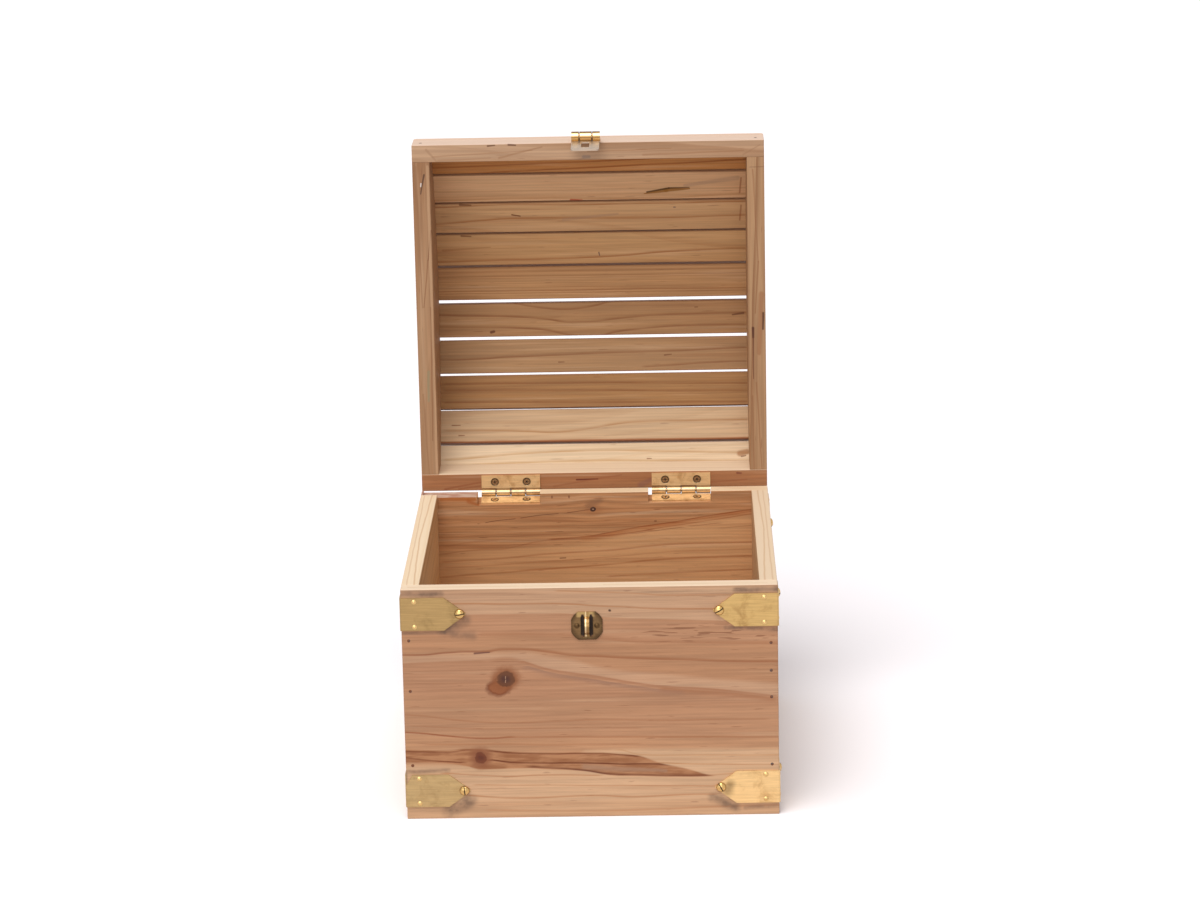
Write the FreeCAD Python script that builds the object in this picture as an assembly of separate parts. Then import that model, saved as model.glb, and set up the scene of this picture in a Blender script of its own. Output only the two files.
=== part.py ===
import FreeCAD
import Part
import math
import os

# Wooden storage box with an arched, slatted lid. Lengths are in millimetres, angles in degrees.
# X runs to the right, Y to the back and Z up. The origin is the centre of the underside.
# The lid and its hasp are built shut, and are then swung open about the hinge pins.

# Box carcass: 1/2 inch boards, butt jointed, with the side walls between the front and the back
box_width = 254.0
box_depth = 258.0
box_height = 163.0
board_thickness = 12.0
bottom_thickness = 9.0
edge_ease = 0.4

# Wane left by the bark on the top of the back wall, from the left corner to the hinge
wane_inner_drop = 2.2
wane_outer_drop = 1.4
wane_corner_gap = 1.5

# Lid frame: two rails, and two arched ends that stand between them
lid_gap = 0.2
lid_board_thickness = 12.6
lid_edge_height = 17.5
lid_arch_radius = 190.0
lid_open_angle = 90.0

# Lid slats: flat strips laid side by side over the arch, with uneven gaps
slat_thickness = 7.5
slat_edge_width = 34.55
slat_count = 10
slat_gap = 1.6
slat_gap_shares = (0.75, 0.75, 0.75, 1.0, 1.8, 1.25, 0.85, 0.7, 1.0)
slat_row_shift = 2.3
slat_corner_radius = 3.5

# Butt hinges: four knuckles each, the first and third on the leaf of the box
hinge_length = 43.0
hinge_leaf_width = 12.5
hinge_leaf_thickness = 1.2
hinge_barrel_radius = 2.65
hinge_pin_radius = 1.3
hinge_pin_stand_off = 1.1
hinge_knuckle_count = 4
hinge_knuckle_gap = 0.4
hinge_swing_clearance = 0.8
hinge_left_x = -61.5
hinge_right_x = 63.7
hinge_screw_spacing = 23.4
hinge_screw_reach = 7.6
hinge_notch_slope = 14.0
notch_slack = 2.7
notch_clearance = 0.3

# Countersunk hinge screws
hinge_screw_head_radius = 3.0
hinge_screw_shank_radius = 1.4
hinge_screw_length = 12.0

# Hasp on the lid: a fixed leaf with the middle knuckle, and a slotted flap with the outer two
hasp_x = -1.2
hasp_width = 20.4
hasp_barrel_radius = 4.2
hasp_pin_radius = 2.0
hasp_barrel_drop = 3.5
hasp_middle_knuckle = 8.8
hasp_knuckle_gap = 0.4
hasp_face_clearance = 0.3
hasp_leaf_thickness = 1.5
hasp_leaf_height = 15.5
hasp_neck_lap = 2.0
hasp_leaf_pin_height = 8.5
hasp_leaf_pin_spacing = 12.0
hasp_corner_radius = 2.0
flap_thickness = 1.0
flap_length = 39.5
flap_inset = 0.2
flap_face_gap = 1.6
slot_width = 5.8
slot_start = 9.0
slot_end = 30.0

# Catch on the front wall: a round plate cut off straight all round, with a staple for the flap's slot
catch_plate_height = 19.6
catch_plate_width = 21.2
catch_plate_radius = 11.4
catch_plate_thickness = 0.8
catch_drop = 26.8
catch_offset = -0.5
catch_pin_spacing = 13.6
catch_slit_width = 1.8
catch_slit_height = 16.0
staple_foot = 12.5
staple_rise = 5.0
staple_thickness = 1.3
staple_slack = 1.8

# Corner brackets: sheet brass folded round each upright corner, each leg ending in a blunt point
bracket_thickness = 0.8
bracket_height = 23.0
bracket_leg = 43.5
bracket_straight = 29.0
bracket_tip_height = 1.6
bracket_bend_radius = 1.4
bracket_top_drop = 5.8
bracket_base_rise = 8.6
bracket_pin_inset = 9.0
bracket_pin_edge = 2.7
bracket_screw_inset = 39.6
bracket_clip_width = 4.0
bracket_clip_height = 7.0

# Round headed brass pins of the brackets, the catch and the hasp
pin_head_radius = 1.7
pin_head_height = 0.5
pin_shank_radius = 0.7
pin_length = 8.0

# Round headed brass screws in the bracket tips
dome_head_radius = 3.3
dome_head_height = 2.2
dome_shank_radius = 1.3
dome_length = 10.0

# Fits and cutting
shank_clearance = 0.05
point_share = 1.6
cut_overrun = 1.0

# Places worked out from the sizes above
half_width = box_width / 2
half_depth = box_depth / 2
inner_half_width = half_width - board_thickness
inner_half_depth = half_depth - board_thickness
rim = box_height + lid_gap
notch_depth = 2 * hinge_barrel_radius - lid_gap
notch_floor = box_height - notch_depth
hinge_y = half_depth + hinge_pin_stand_off
hinge_z = notch_floor + hinge_barrel_radius
lid_inner_half_depth = half_depth - lid_board_thickness
lid_inner_half_width = half_width - lid_board_thickness
arch_centre_z = rim + lid_edge_height - math.sqrt(lid_arch_radius ** 2 - half_depth ** 2)
hasp_y = -half_depth - hasp_barrel_radius - hasp_face_clearance
hasp_z = rim - hasp_barrel_drop
catch_x = hasp_x + catch_offset
catch_z = box_height - catch_drop

along_x = FreeCAD.Vector(1, 0, 0)
along_y = FreeCAD.Vector(0, 1, 0)
along_z = FreeCAD.Vector(0, 0, 1)
to_front = FreeCAD.Vector(0, -1, 0)
downwards = FreeCAD.Vector(0, 0, -1)


def block(low, high):
    """A plain block between two opposite corners."""
    corner = FreeCAD.Vector(*low)
    size = FreeCAD.Vector(*high) - corner
    return Part.makeBox(size.x, size.y, size.z, corner)


def board(low, high):
    """A block of wood with its edges eased."""
    wood = block(low, high)
    return wood.makeChamfer(edge_ease, wood.Edges)


def rod(start, direction, length, radius):
    """A round bar that starts at a point and runs along a direction."""
    return Part.makeCylinder(radius, length, start, direction)


def prism_along_x(outline, x_low, x_high):
    """A prism with a closed outline of (y, z) corners."""
    corners = [FreeCAD.Vector(x_low, y, z) for y, z in outline]
    face = Part.Face(Part.makePolygon(corners + corners[:1]))
    return face.extrude(FreeCAD.Vector(x_high - x_low, 0, 0))


def prism_along_y(outline, y_low, y_high):
    """A prism with a closed outline of (x, z) corners."""
    corners = [FreeCAD.Vector(x, y_low, z) for x, z in outline]
    face = Part.Face(Part.makePolygon(corners + corners[:1]))
    return face.extrude(FreeCAD.Vector(0, y_high - y_low, 0))


def turned(profile, point, outward):
    """Turns a closed profile of edges, drawn in X and Z, about Z and stands it on a point."""
    solid = Part.Face(Part.Wire(profile)).revolve(FreeCAD.Vector(), along_z, 360)
    solid.Placement = FreeCAD.Placement(point, FreeCAD.Rotation(along_z, outward))
    return solid


def spindle_profile(head, shank_radius, length):
    """Head edges from the axis down to the shank, closed by a pointed shank below them."""
    neck = FreeCAD.Vector(shank_radius, 0, 0)
    shoulder = FreeCAD.Vector(shank_radius, 0, point_share * shank_radius - length)
    point = FreeCAD.Vector(0, 0, -length)
    top = head[0].valueAt(head[0].FirstParameter)
    lower = [(head[-1].valueAt(head[-1].LastParameter), neck), (neck, shoulder), (shoulder, point), (point, top)]
    return head + [Part.makeLine(a, b) for a, b in lower]


def domed_fixing(point, outward, head_radius, head_height, shank_radius, length):
    """A round headed pin or screw, seated with the underside of its head at a point."""
    ball_radius = (head_radius ** 2 + head_height ** 2) / (2 * head_height)
    half_angle = math.asin(head_radius / ball_radius) / 2
    middle = FreeCAD.Vector(
        ball_radius * math.sin(half_angle), 0, head_height - ball_radius * (1 - math.cos(half_angle))
    )
    top = FreeCAD.Vector(0, 0, head_height)
    rim_point = FreeCAD.Vector(head_radius, 0, 0)
    head = [Part.Arc(top, middle, rim_point).toShape()]
    return turned(spindle_profile(head, shank_radius, length), point, outward)


def brass_pin(point, outward):
    """A small round headed brass pin."""
    return domed_fixing(point, outward, pin_head_radius, pin_head_height, pin_shank_radius, pin_length)


def brass_dome_screw(point, outward):
    """The larger round headed screw in a bracket's tip."""
    return domed_fixing(point, outward, dome_head_radius, dome_head_height, dome_shank_radius, dome_length)


def countersunk_screw(point, outward):
    """A hinge screw whose head fills the countersink of a leaf and lies flush with it."""
    top = FreeCAD.Vector()
    outer_top = FreeCAD.Vector(hinge_screw_head_radius, 0, 0)
    head_foot = FreeCAD.Vector(hinge_screw_shank_radius, 0, -hinge_leaf_thickness)
    shoulder_z = point_share * hinge_screw_shank_radius - hinge_screw_length
    shoulder = FreeCAD.Vector(hinge_screw_shank_radius, 0, shoulder_z)
    tip = FreeCAD.Vector(0, 0, -hinge_screw_length)
    corners = [top, outer_top, head_foot, shoulder, tip, top]
    edges = [Part.makeLine(a, b) for a, b in zip(corners, corners[1:])]
    return turned(edges, point, outward)


def shank_hole(point, outward, shank_radius, length):
    """The hole that a shank fills, a little wider and deeper than the shank."""
    depth = length + shank_clearance
    return rod(point, -outward, depth, shank_radius + shank_clearance)


def drilled(wood, holes):
    """A piece with the holes of its fixings."""
    return wood.cut(Part.makeCompound(holes))


def bracket_fixing_places():
    """For each bracket face: the points and outward directions of its pins and of its screw."""
    pins = []
    screws = []
    for z_low in (bracket_base_rise, box_height - bracket_top_drop - bracket_height):
        pin_heights = (z_low + bracket_pin_edge, z_low + bracket_height - bracket_pin_edge)
        middle = z_low + bracket_height / 2
        for side in (-1, 1):
            for end in (-1, 1):
                along = FreeCAD.Vector(0, end, 0)
                across = FreeCAD.Vector(side, 0, 0)
                y_face = end * (half_depth + bracket_thickness)
                x_face = side * (half_width + bracket_thickness)
                pin_x = side * (half_width - bracket_pin_inset)
                pin_y = end * (half_depth - bracket_pin_inset)
                screw_x = side * (half_width - bracket_screw_inset)
                screw_y = end * (half_depth - bracket_screw_inset)
                pins += [(FreeCAD.Vector(pin_x, y_face, z), along) for z in pin_heights]
                pins += [(FreeCAD.Vector(x_face, pin_y, z), across) for z in reversed(pin_heights)]
                screws.append((FreeCAD.Vector(screw_x, y_face, middle), along))
                screws.append((FreeCAD.Vector(x_face, screw_y, middle), across))
    return pins, screws


def box_fixings():
    """The loose fixings of the carcass, and the holes that they make in its boards."""
    pins, screws = bracket_fixing_places()
    catch_pins = catch_pin_places()
    hinge_screws = [(FreeCAD.Vector(x, hinge_y - hinge_screw_reach, notch_floor + hinge_leaf_thickness), along_z)
                    for x in hinge_screw_xs()]
    holes = [shank_hole(p, d, pin_shank_radius, pin_length) for p, d in pins + catch_pins]
    holes += [shank_hole(p, d, dome_shank_radius, dome_length) for p, d in screws]
    holes += [sloped(shank_hole(p, d, hinge_screw_shank_radius, hinge_screw_length)) for p, d in hinge_screws]
    pieces = {
        "bracket_pins": [brass_pin(p, d) for p, d in pins],
        "bracket_screws": [brass_dome_screw(p, d) for p, d in screws],
        "catch_pins": [brass_pin(p, d) for p, d in catch_pins],
        "box_hinge_screws": [sloped(countersunk_screw(p, d)) for p, d in hinge_screws],
    }
    return pieces, holes


def hinge_screw_xs():
    """The places of the hinge screws along X, the same on both leaves."""
    return [x + offset for x in (hinge_left_x, hinge_right_x)
            for offset in (-hinge_screw_spacing / 2, hinge_screw_spacing / 2)]


def sloped(shape):
    """A shape tipped about the hinge pins, so that its inner side drops."""
    tipped = shape.copy()
    tipped.rotate(FreeCAD.Vector(0, hinge_y, hinge_z), along_x, hinge_notch_slope)
    return tipped


def hinge_notch(hinge_x):
    """The gap in the back wall's top edge for one hinge, cut on a slope and with slack on its left."""
    low = (hinge_x - hinge_length / 2 - notch_slack, inner_half_depth - board_thickness, notch_floor)
    high = (
        hinge_x + hinge_length / 2 + notch_clearance, half_depth + board_thickness, box_height + board_thickness
    )
    return sloped(block(low, high))


def wane():
    """What is missing from the top of the back wall, left of the left hinge, most at its inner face."""
    inner = (inner_half_depth, box_height - wane_inner_drop)
    outer = (half_depth, box_height - wane_outer_drop)
    z_high = box_height + cut_overrun
    outline = [
        (inner[0] - cut_overrun, inner[1]), inner, outer, (outer[0] + cut_overrun, outer[1]),
        (outer[0] + cut_overrun, z_high), (inner[0] - cut_overrun, z_high),
    ]
    x_end = hinge_left_x - hinge_length / 2 - notch_slack
    return prism_along_x(outline, -half_width + wane_corner_gap, x_end)


def carcass(holes):
    """The five boards of the box."""
    front = board((-half_width, -half_depth, 0), (half_width, -inner_half_depth, box_height))
    back = board((-half_width, inner_half_depth, 0), (half_width, half_depth, box_height))
    back = back.cut(hinge_notch(hinge_left_x)).cut(hinge_notch(hinge_right_x)).cut(wane())
    left = board((-half_width, -inner_half_depth, 0), (-inner_half_width, inner_half_depth, box_height))
    right = board((inner_half_width, -inner_half_depth, 0), (half_width, inner_half_depth, box_height))
    bottom = board(
        (-inner_half_width, -inner_half_depth, 0), (inner_half_width, inner_half_depth, bottom_thickness)
    )
    return {
        "front_panel": drilled(front, holes),
        "back_panel": drilled(back, holes),
        "left_side_panel": drilled(left, holes),
        "right_side_panel": drilled(right, holes),
        "bottom_panel": bottom,
    }


def bracket_outline(corner, inward, z_low):
    """One leg's outline as (distance along the wall, height): straight, then drawn in to a blunt tip."""
    start = corner - inward * (bracket_thickness + cut_overrun)
    straight = corner + inward * bracket_straight
    tip = corner + inward * bracket_leg
    z_high = z_low + bracket_height
    middle = z_low + bracket_height / 2
    tip_low = middle - bracket_tip_height / 2
    tip_high = middle + bracket_tip_height / 2
    return [(start, z_low), (straight, z_low), (tip, tip_low), (tip, tip_high), (straight, z_high), (start, z_high)]


def corner_bracket(z_low, holes):
    """The bracket of the front left corner: an angle of sheet, cut to the outlines of its two legs."""
    outer = (-half_width - bracket_thickness, -half_depth - bracket_thickness)
    inner = (-half_width, -half_depth)
    tip = (-half_width + bracket_leg, -half_depth + bracket_leg)
    plan = [outer, (tip[0], outer[1]), (tip[0], inner[1]), inner, (inner[0], tip[1]), (outer[0], tip[1])]
    corners = [FreeCAD.Vector(x, y, z_low) for x, y in plan]
    face = Part.Face(Part.makePolygon(corners + corners[:1]))
    angle = face.extrude(along_z * bracket_height)
    fold = [e for e in angle.Edges if all(v.X == outer[0] and v.Y == outer[1] for v in e.Vertexes)]
    angle = angle.makeFillet(bracket_bend_radius, fold)
    front_leg = prism_along_y(bracket_outline(-half_width, 1, z_low), outer[1] - cut_overrun, tip[1] + cut_overrun)
    side_leg = prism_along_x(bracket_outline(-half_depth, 1, z_low), outer[0] - cut_overrun, tip[0] + cut_overrun)
    return drilled(angle.common(front_leg).common(side_leg), holes)


def clipped_corner(bracket, z_low):
    """Cuts away the top outer corner of a bracket's front leg, as on the lower left one."""
    z_high = z_low + bracket_height
    outline = [
        (-half_width - bracket_thickness - cut_overrun, z_high - bracket_clip_height),
        (-half_width, z_high - bracket_clip_height),
        (-half_width + bracket_clip_width, z_high),
        (-half_width + bracket_clip_width, z_high + cut_overrun),
        (-half_width - bracket_thickness - cut_overrun, z_high + cut_overrun),
    ]
    clip = prism_along_y(outline, -half_depth - bracket_thickness - cut_overrun, -half_depth)
    return bracket.cut(clip)


def corner_brackets(holes):
    """All eight brackets, mirrored from the front left ones."""
    brackets = {}
    origin = FreeCAD.Vector()
    for level, z_low in (("bottom", bracket_base_rise), ("top", box_height - bracket_top_drop - bracket_height)):
        front_left = corner_bracket(z_low, holes)
        rear_left = front_left.mirror(origin, along_y)
        brackets[f"corner_bracket_front_right_{level}"] = front_left.mirror(origin, along_x)
        brackets[f"corner_bracket_rear_left_{level}"] = rear_left
        brackets[f"corner_bracket_rear_right_{level}"] = rear_left.mirror(origin, along_x)
        if level == "bottom":
            front_left = clipped_corner(front_left, z_low)
        brackets[f"corner_bracket_front_left_{level}"] = front_left
    return brackets


def knuckles(hinge_x):
    """The span of each knuckle along X, from left to right."""
    length = (hinge_length - (hinge_knuckle_count - 1) * hinge_knuckle_gap) / hinge_knuckle_count
    starts = [hinge_x - hinge_length / 2 + i * (length + hinge_knuckle_gap) for i in range(hinge_knuckle_count)]
    return [(start, start + length) for start in starts]


def hinge_leaf(hinge_x, first_knuckle, plate_low, screw_face, screw_outward):
    """A leaf: a plate along the pin, with every second knuckle, relief for the others and two screw holes."""
    x_low = hinge_x - hinge_length / 2
    x_high = hinge_x + hinge_length / 2
    y_edge = hinge_y - hinge_leaf_width
    leaf = block((x_low, y_edge, plate_low), (x_high, hinge_y, plate_low + hinge_leaf_thickness))
    spans = knuckles(hinge_x)
    relief_radius = hinge_barrel_radius + hinge_swing_clearance
    for start, end in spans[1 - first_knuckle::2]:
        foot = FreeCAD.Vector(start - hinge_knuckle_gap, hinge_y, hinge_z)
        leaf = leaf.cut(rod(foot, along_x, end - start + 2 * hinge_knuckle_gap, relief_radius))
    for start, end in spans[first_knuckle::2]:
        leaf = leaf.fuse(rod(FreeCAD.Vector(start, hinge_y, hinge_z), along_x, end - start, hinge_barrel_radius))
    bore_start = FreeCAD.Vector(x_low - cut_overrun, hinge_y, hinge_z)
    bore = rod(bore_start, along_x, hinge_length + 2 * cut_overrun, hinge_pin_radius + shank_clearance)
    cuts = [bore]
    for offset in (-hinge_screw_spacing / 2, hinge_screw_spacing / 2):
        point = FreeCAD.Vector(hinge_x + offset, hinge_y - hinge_screw_reach, screw_face)
        cuts.append(countersink(point, screw_outward))
    return leaf.cut(Part.makeCompound(cuts)).removeSplitter()


def countersink(point, outward):
    """The conical hole for a screw head, carried on past both faces of its leaf."""
    slope = (hinge_screw_head_radius - hinge_screw_shank_radius) / hinge_leaf_thickness
    wide = hinge_screw_head_radius + shank_clearance + slope * cut_overrun
    narrow = hinge_screw_shank_radius + shank_clearance
    cone_height = hinge_leaf_thickness + cut_overrun
    cone = Part.makeCone(wide, narrow, cone_height, point + outward * cut_overrun, -outward)
    return cone.fuse(rod(point, -outward, hinge_leaf_thickness + cut_overrun, narrow))


def hinge_pin(hinge_x):
    """The pin of one hinge, flush with the ends of its knuckles."""
    return rod(FreeCAD.Vector(hinge_x - hinge_length / 2, hinge_y, hinge_z), along_x, hinge_length, hinge_pin_radius)


def box_hinge_leaf(hinge_x):
    """The leaf that lies on the floor of the notch."""
    return sloped(hinge_leaf(hinge_x, 0, notch_floor, notch_floor + hinge_leaf_thickness, along_z))


def lid_hinge_leaf(hinge_x):
    """The leaf under the lid's back rail."""
    plate_low = rim - hinge_leaf_thickness
    return hinge_leaf(hinge_x, 1, plate_low, plate_low, downwards)


def catch_pin_places():
    """The two pins of the catch."""
    y_face = -half_depth - catch_plate_thickness
    return [(FreeCAD.Vector(catch_x + offset, y_face, catch_z), to_front)
            for offset in (-catch_pin_spacing / 2, catch_pin_spacing / 2)]


def catch_plate():
    """The catch: a disc cut off straight all round, slit beside the staple that is pressed out of it."""
    y_back = -half_depth
    y_front = y_back - catch_plate_thickness
    disc = rod(FreeCAD.Vector(catch_x, y_back, catch_z), to_front, catch_plate_thickness, catch_plate_radius)
    half_wide = catch_plate_width / 2
    half_high = catch_plate_height / 2
    plate = disc.common(block(
        (catch_x - half_wide, y_front, catch_z - half_high), (catch_x + half_wide, y_back, catch_z + half_high)
    ))
    cuts = [shank_hole(p, d, pin_shank_radius, pin_length) for p, d in catch_pin_places()]
    half_staple = (slot_width - staple_slack) / 2
    for near in (-half_staple - catch_slit_width, half_staple):
        low = (catch_x + near, y_front - cut_overrun, catch_z - catch_slit_height / 2)
        high = (catch_x + near + catch_slit_width, y_back + cut_overrun, catch_z + catch_slit_height / 2)
        cuts.append(block(low, high))
    return plate.cut(Part.makeCompound(cuts)).fuse(staple(y_front)).removeSplitter()


def staple(y_foot):
    """The bowed strip on the catch, as wide as the flap's slot less its slack."""
    width = slot_width - staple_slack
    radius = (staple_foot ** 2 / 4 + staple_rise ** 2) / (2 * staple_rise)
    x_low = catch_x - width / 2
    start = FreeCAD.Vector(x_low, y_foot - staple_rise + radius, catch_z)
    ring = rod(start, along_x, width, radius).cut(rod(start, along_x, width, radius - staple_thickness))
    y_low = y_foot - staple_rise - cut_overrun
    return ring.common(block((x_low, y_low, catch_z - radius), (x_low + width, y_foot, catch_z + radius)))


def hasp_bore():
    """The bore for the hasp's pin, through all three knuckles."""
    start = FreeCAD.Vector(hasp_x - hasp_width / 2 - cut_overrun, hasp_y, hasp_z)
    return rod(start, along_x, hasp_width + 2 * cut_overrun, hasp_pin_radius + shank_clearance)


def hasp_fixed_leaf():
    """The leaf on the lid's front rail, with the middle knuckle on a neck below the rim."""
    half = hasp_width / 2
    plate = block(
        (hasp_x - half, -half_depth - hasp_leaf_thickness, rim), (hasp_x + half, -half_depth, rim + hasp_leaf_height)
    )
    upper = [e for e in plate.Edges if is_upright_edge_at(e, rim + hasp_leaf_height)]
    plate = plate.makeFillet(hasp_corner_radius, upper)
    half_middle = hasp_middle_knuckle / 2
    neck_back = -half_depth - hasp_face_clearance
    neck = block(
        (hasp_x - half_middle, neck_back - hasp_leaf_thickness, hasp_z),
        (hasp_x + half_middle, neck_back, rim + hasp_neck_lap),
    )
    knuckle = rod(
        FreeCAD.Vector(hasp_x - half_middle, hasp_y, hasp_z), along_x, hasp_middle_knuckle, hasp_barrel_radius
    )
    holes = [shank_hole(p, d, pin_shank_radius, pin_length) for p, d in hasp_leaf_pin_places()]
    leaf = plate.fuse(neck).fuse(knuckle)
    return leaf.cut(Part.makeCompound(holes + [hasp_bore()])).removeSplitter()


def is_upright_edge_at(edge, z):
    """True for a plate's edge that runs through its thickness at a height."""
    return all(v.Z == z for v in edge.Vertexes) and edge.Vertexes[0].X == edge.Vertexes[-1].X


def hasp_leaf_pin_places():
    """The two pins of the fixed leaf."""
    y_face = -half_depth - hasp_leaf_thickness
    z = rim + hasp_leaf_pin_height
    return [(FreeCAD.Vector(x, y_face, z), to_front)
            for x in (hasp_x - hasp_leaf_pin_spacing / 2, hasp_x + hasp_leaf_pin_spacing / 2)]


def hasp_flap():
    """The slotted flap with the two outer knuckles, hanging straight down from its pin."""
    half = hasp_width / 2
    y_back = -half_depth - flap_face_gap
    y_front = y_back - flap_thickness
    z_low = hasp_z - flap_length
    plate_top = hasp_z - (hasp_barrel_radius + hasp_pin_radius) / 2
    half_plate = half - flap_inset
    plate = block((hasp_x - half_plate, y_front, z_low), (hasp_x + half_plate, y_back, plate_top))
    lower = [e for e in plate.Edges if is_upright_edge_at(e, z_low)]
    plate = plate.makeFillet(hasp_corner_radius, lower)
    middle_half = hasp_middle_knuckle / 2 + hasp_knuckle_gap
    relief = rod(
        FreeCAD.Vector(hasp_x - middle_half, hasp_y, hasp_z), along_x, 2 * middle_half,
        hasp_barrel_radius + hasp_face_clearance,
    )
    plate = plate.cut(relief)
    knuckle_length = half - middle_half
    for start in (hasp_x - half, hasp_x + middle_half):
        plate = plate.fuse(rod(FreeCAD.Vector(start, hasp_y, hasp_z), along_x, knuckle_length, hasp_barrel_radius))
    return plate.cut(Part.makeCompound([flap_slot(y_front, y_back), hasp_bore()])).removeSplitter()


def flap_slot(y_front, y_back):
    """The slot that passes over the staple."""
    low = (hasp_x - slot_width / 2, y_front - cut_overrun, hasp_z - slot_end)
    high = (hasp_x + slot_width / 2, y_back + cut_overrun, hasp_z - slot_start)
    return block(low, high)


def arch_point(arc_length):
    """The point of the arch at a distance along it from the crown, forwards positive, as (y, z)."""
    angle = arc_length / lid_arch_radius
    return -lid_arch_radius * math.sin(angle), arch_centre_z + lid_arch_radius * math.cos(angle)


def slat_spans():
    """The two ends of each slat, measured along the arch from the crown, the front slat first."""
    gaps = [share * slat_gap for share in slat_gap_shares]
    face_reach = lid_arch_radius * math.asin(half_depth / lid_arch_radius)
    middle_width = (2 * face_reach - 2 * slat_edge_width - sum(gaps)) / (slat_count - 2)
    front_width = slat_edge_width + slat_row_shift
    back_width = slat_edge_width - slat_row_shift
    widths = [front_width] + [middle_width] * (slat_count - 2) + [back_width]
    spans = []
    front_end = face_reach
    for width, gap in zip(widths, gaps + [0]):
        spans.append((front_end - width, front_end))
        front_end -= width + gap
    return spans


def slat_frame(span):
    """The foot of a slat on the arch, the direction across the slat towards the front, and its outward normal."""
    middle = (span[0] + span[1]) / 2
    angle = middle / lid_arch_radius
    foot = FreeCAD.Vector(0, *arch_point(middle))
    across = FreeCAD.Vector(0, -math.cos(angle), -math.sin(angle))
    normal = FreeCAD.Vector(0, -math.sin(angle), math.cos(angle))
    return foot, across, normal


def slat(span, flush_ends):
    """A flat strip that touches the arch along its middle, with some ends cut flush with the lid's faces."""
    foot, across, normal = slat_frame(span)
    half = (span[1] - span[0]) / 2
    outline = []
    for end, lift in ((-1, 0), (1, 0), (1, slat_thickness), (-1, slat_thickness)):
        corner = foot + across * (end * half) + normal * lift
        if end in flush_ends:
            corner += across * ((-end * half_depth - corner.y) / across.y)
        outline.append((corner.y, corner.z))
    strip = prism_along_x(outline, -half_width, half_width)
    return strip.makeChamfer(edge_ease, strip.Edges)


def end_roundings(span):
    """What is planed off the outer edges of a slat's two ends to round them."""
    foot, _, normal = slat_frame(span)
    reach = span[1] - span[0]
    x_centre = half_width - slat_corner_radius
    z_centre = slat_thickness - slat_corner_radius
    corner = block(
        (x_centre, -reach, z_centre), (half_width + cut_overrun, reach, slat_thickness + cut_overrun)
    )
    right = corner.cut(rod(FreeCAD.Vector(x_centre, -reach, z_centre), along_y, 2 * reach, slat_corner_radius))
    both = Part.makeCompound([right, right.mirror(FreeCAD.Vector(), along_x)])
    both.Placement = FreeCAD.Placement(foot, FreeCAD.Rotation(along_z, normal))
    return both


def lid_rail(span, end):
    """A rail of the lid, its top planed to the slope of the slat that lies on it."""
    foot, across, normal = slat_frame(span)
    y_inner = end * lid_inner_half_depth
    y_outer = end * half_depth
    z_inner = foot.z + across.z / across.y * (y_inner - foot.y)
    z_outer = foot.z + across.z / across.y * (y_outer - foot.y)
    outline = [(y_inner, rim), (y_outer, rim), (y_outer, z_outer), (y_inner, z_inner)]
    rail = prism_along_x(outline, -half_width, half_width)
    return rail.makeChamfer(edge_ease, rail.Edges)


def lid_end(x_low, x_high):
    """An arched end of the lid, which stands between the rails."""
    half = lid_inner_half_depth
    shoulder_z = arch_centre_z + math.sqrt(lid_arch_radius ** 2 - half ** 2)
    front_foot = FreeCAD.Vector(x_low, -half, rim)
    front_top = FreeCAD.Vector(x_low, -half, shoulder_z)
    crown = FreeCAD.Vector(x_low, 0, arch_centre_z + lid_arch_radius)
    back_top = FreeCAD.Vector(x_low, half, shoulder_z)
    back_foot = FreeCAD.Vector(x_low, half, rim)
    arch = Part.Arc(front_top, crown, back_top).toShape()
    lines = [(back_top, back_foot), (back_foot, front_foot), (front_foot, front_top)]
    face = Part.Face(Part.Wire([arch] + [Part.makeLine(a, b) for a, b in lines]))
    end = face.extrude(FreeCAD.Vector(x_high - x_low, 0, 0))
    feet = [e for e in end.Edges if all(v.Z == rim for v in e.Vertexes)]
    return end.makeChamfer(edge_ease, feet)


def lid_pieces():
    """Everything that moves with the lid, built with the lid shut."""
    spans = slat_spans()
    hasp_pins = hasp_leaf_pin_places()
    screws = [(FreeCAD.Vector(x, hinge_y - hinge_screw_reach, rim - hinge_leaf_thickness), downwards)
              for x in hinge_screw_xs()]
    holes = [shank_hole(p, d, pin_shank_radius, pin_length) for p, d in hasp_pins]
    holes += [shank_hole(p, d, hinge_screw_shank_radius, hinge_screw_length) for p, d in screws]
    pieces = {
        "lid_front_rail": drilled(lid_rail(spans[0], -1), holes),
        "lid_back_rail": drilled(lid_rail(spans[-1], 1), holes),
        "lid_left_end": lid_end(-half_width, -lid_inner_half_width),
        "lid_right_end": lid_end(lid_inner_half_width, half_width),
        "hinge_left_lid_leaf": lid_hinge_leaf(hinge_left_x),
        "hinge_right_lid_leaf": lid_hinge_leaf(hinge_right_x),
        "lid_hinge_screws": Part.makeCompound([countersunk_screw(p, d) for p, d in screws]),
        "hasp_fixed_leaf": hasp_fixed_leaf(),
        "hasp_leaf_pins": Part.makeCompound([brass_pin(p, d) for p, d in hasp_pins]),
        "hasp_hinge_pin": rod(
            FreeCAD.Vector(hasp_x - hasp_width / 2, hasp_y, hasp_z), along_x, hasp_width, hasp_pin_radius
        ),
    }
    for number, span in enumerate(spans, 1):
        flush_ends = [1] * (number == 1) + [-1] * (number == slat_count)
        pieces[f"lid_slat_{number:02d}"] = slat(span, flush_ends)
    pieces["lid_slat_01"] = pieces["lid_slat_01"].cut(end_roundings(spans[0]))
    return pieces


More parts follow.
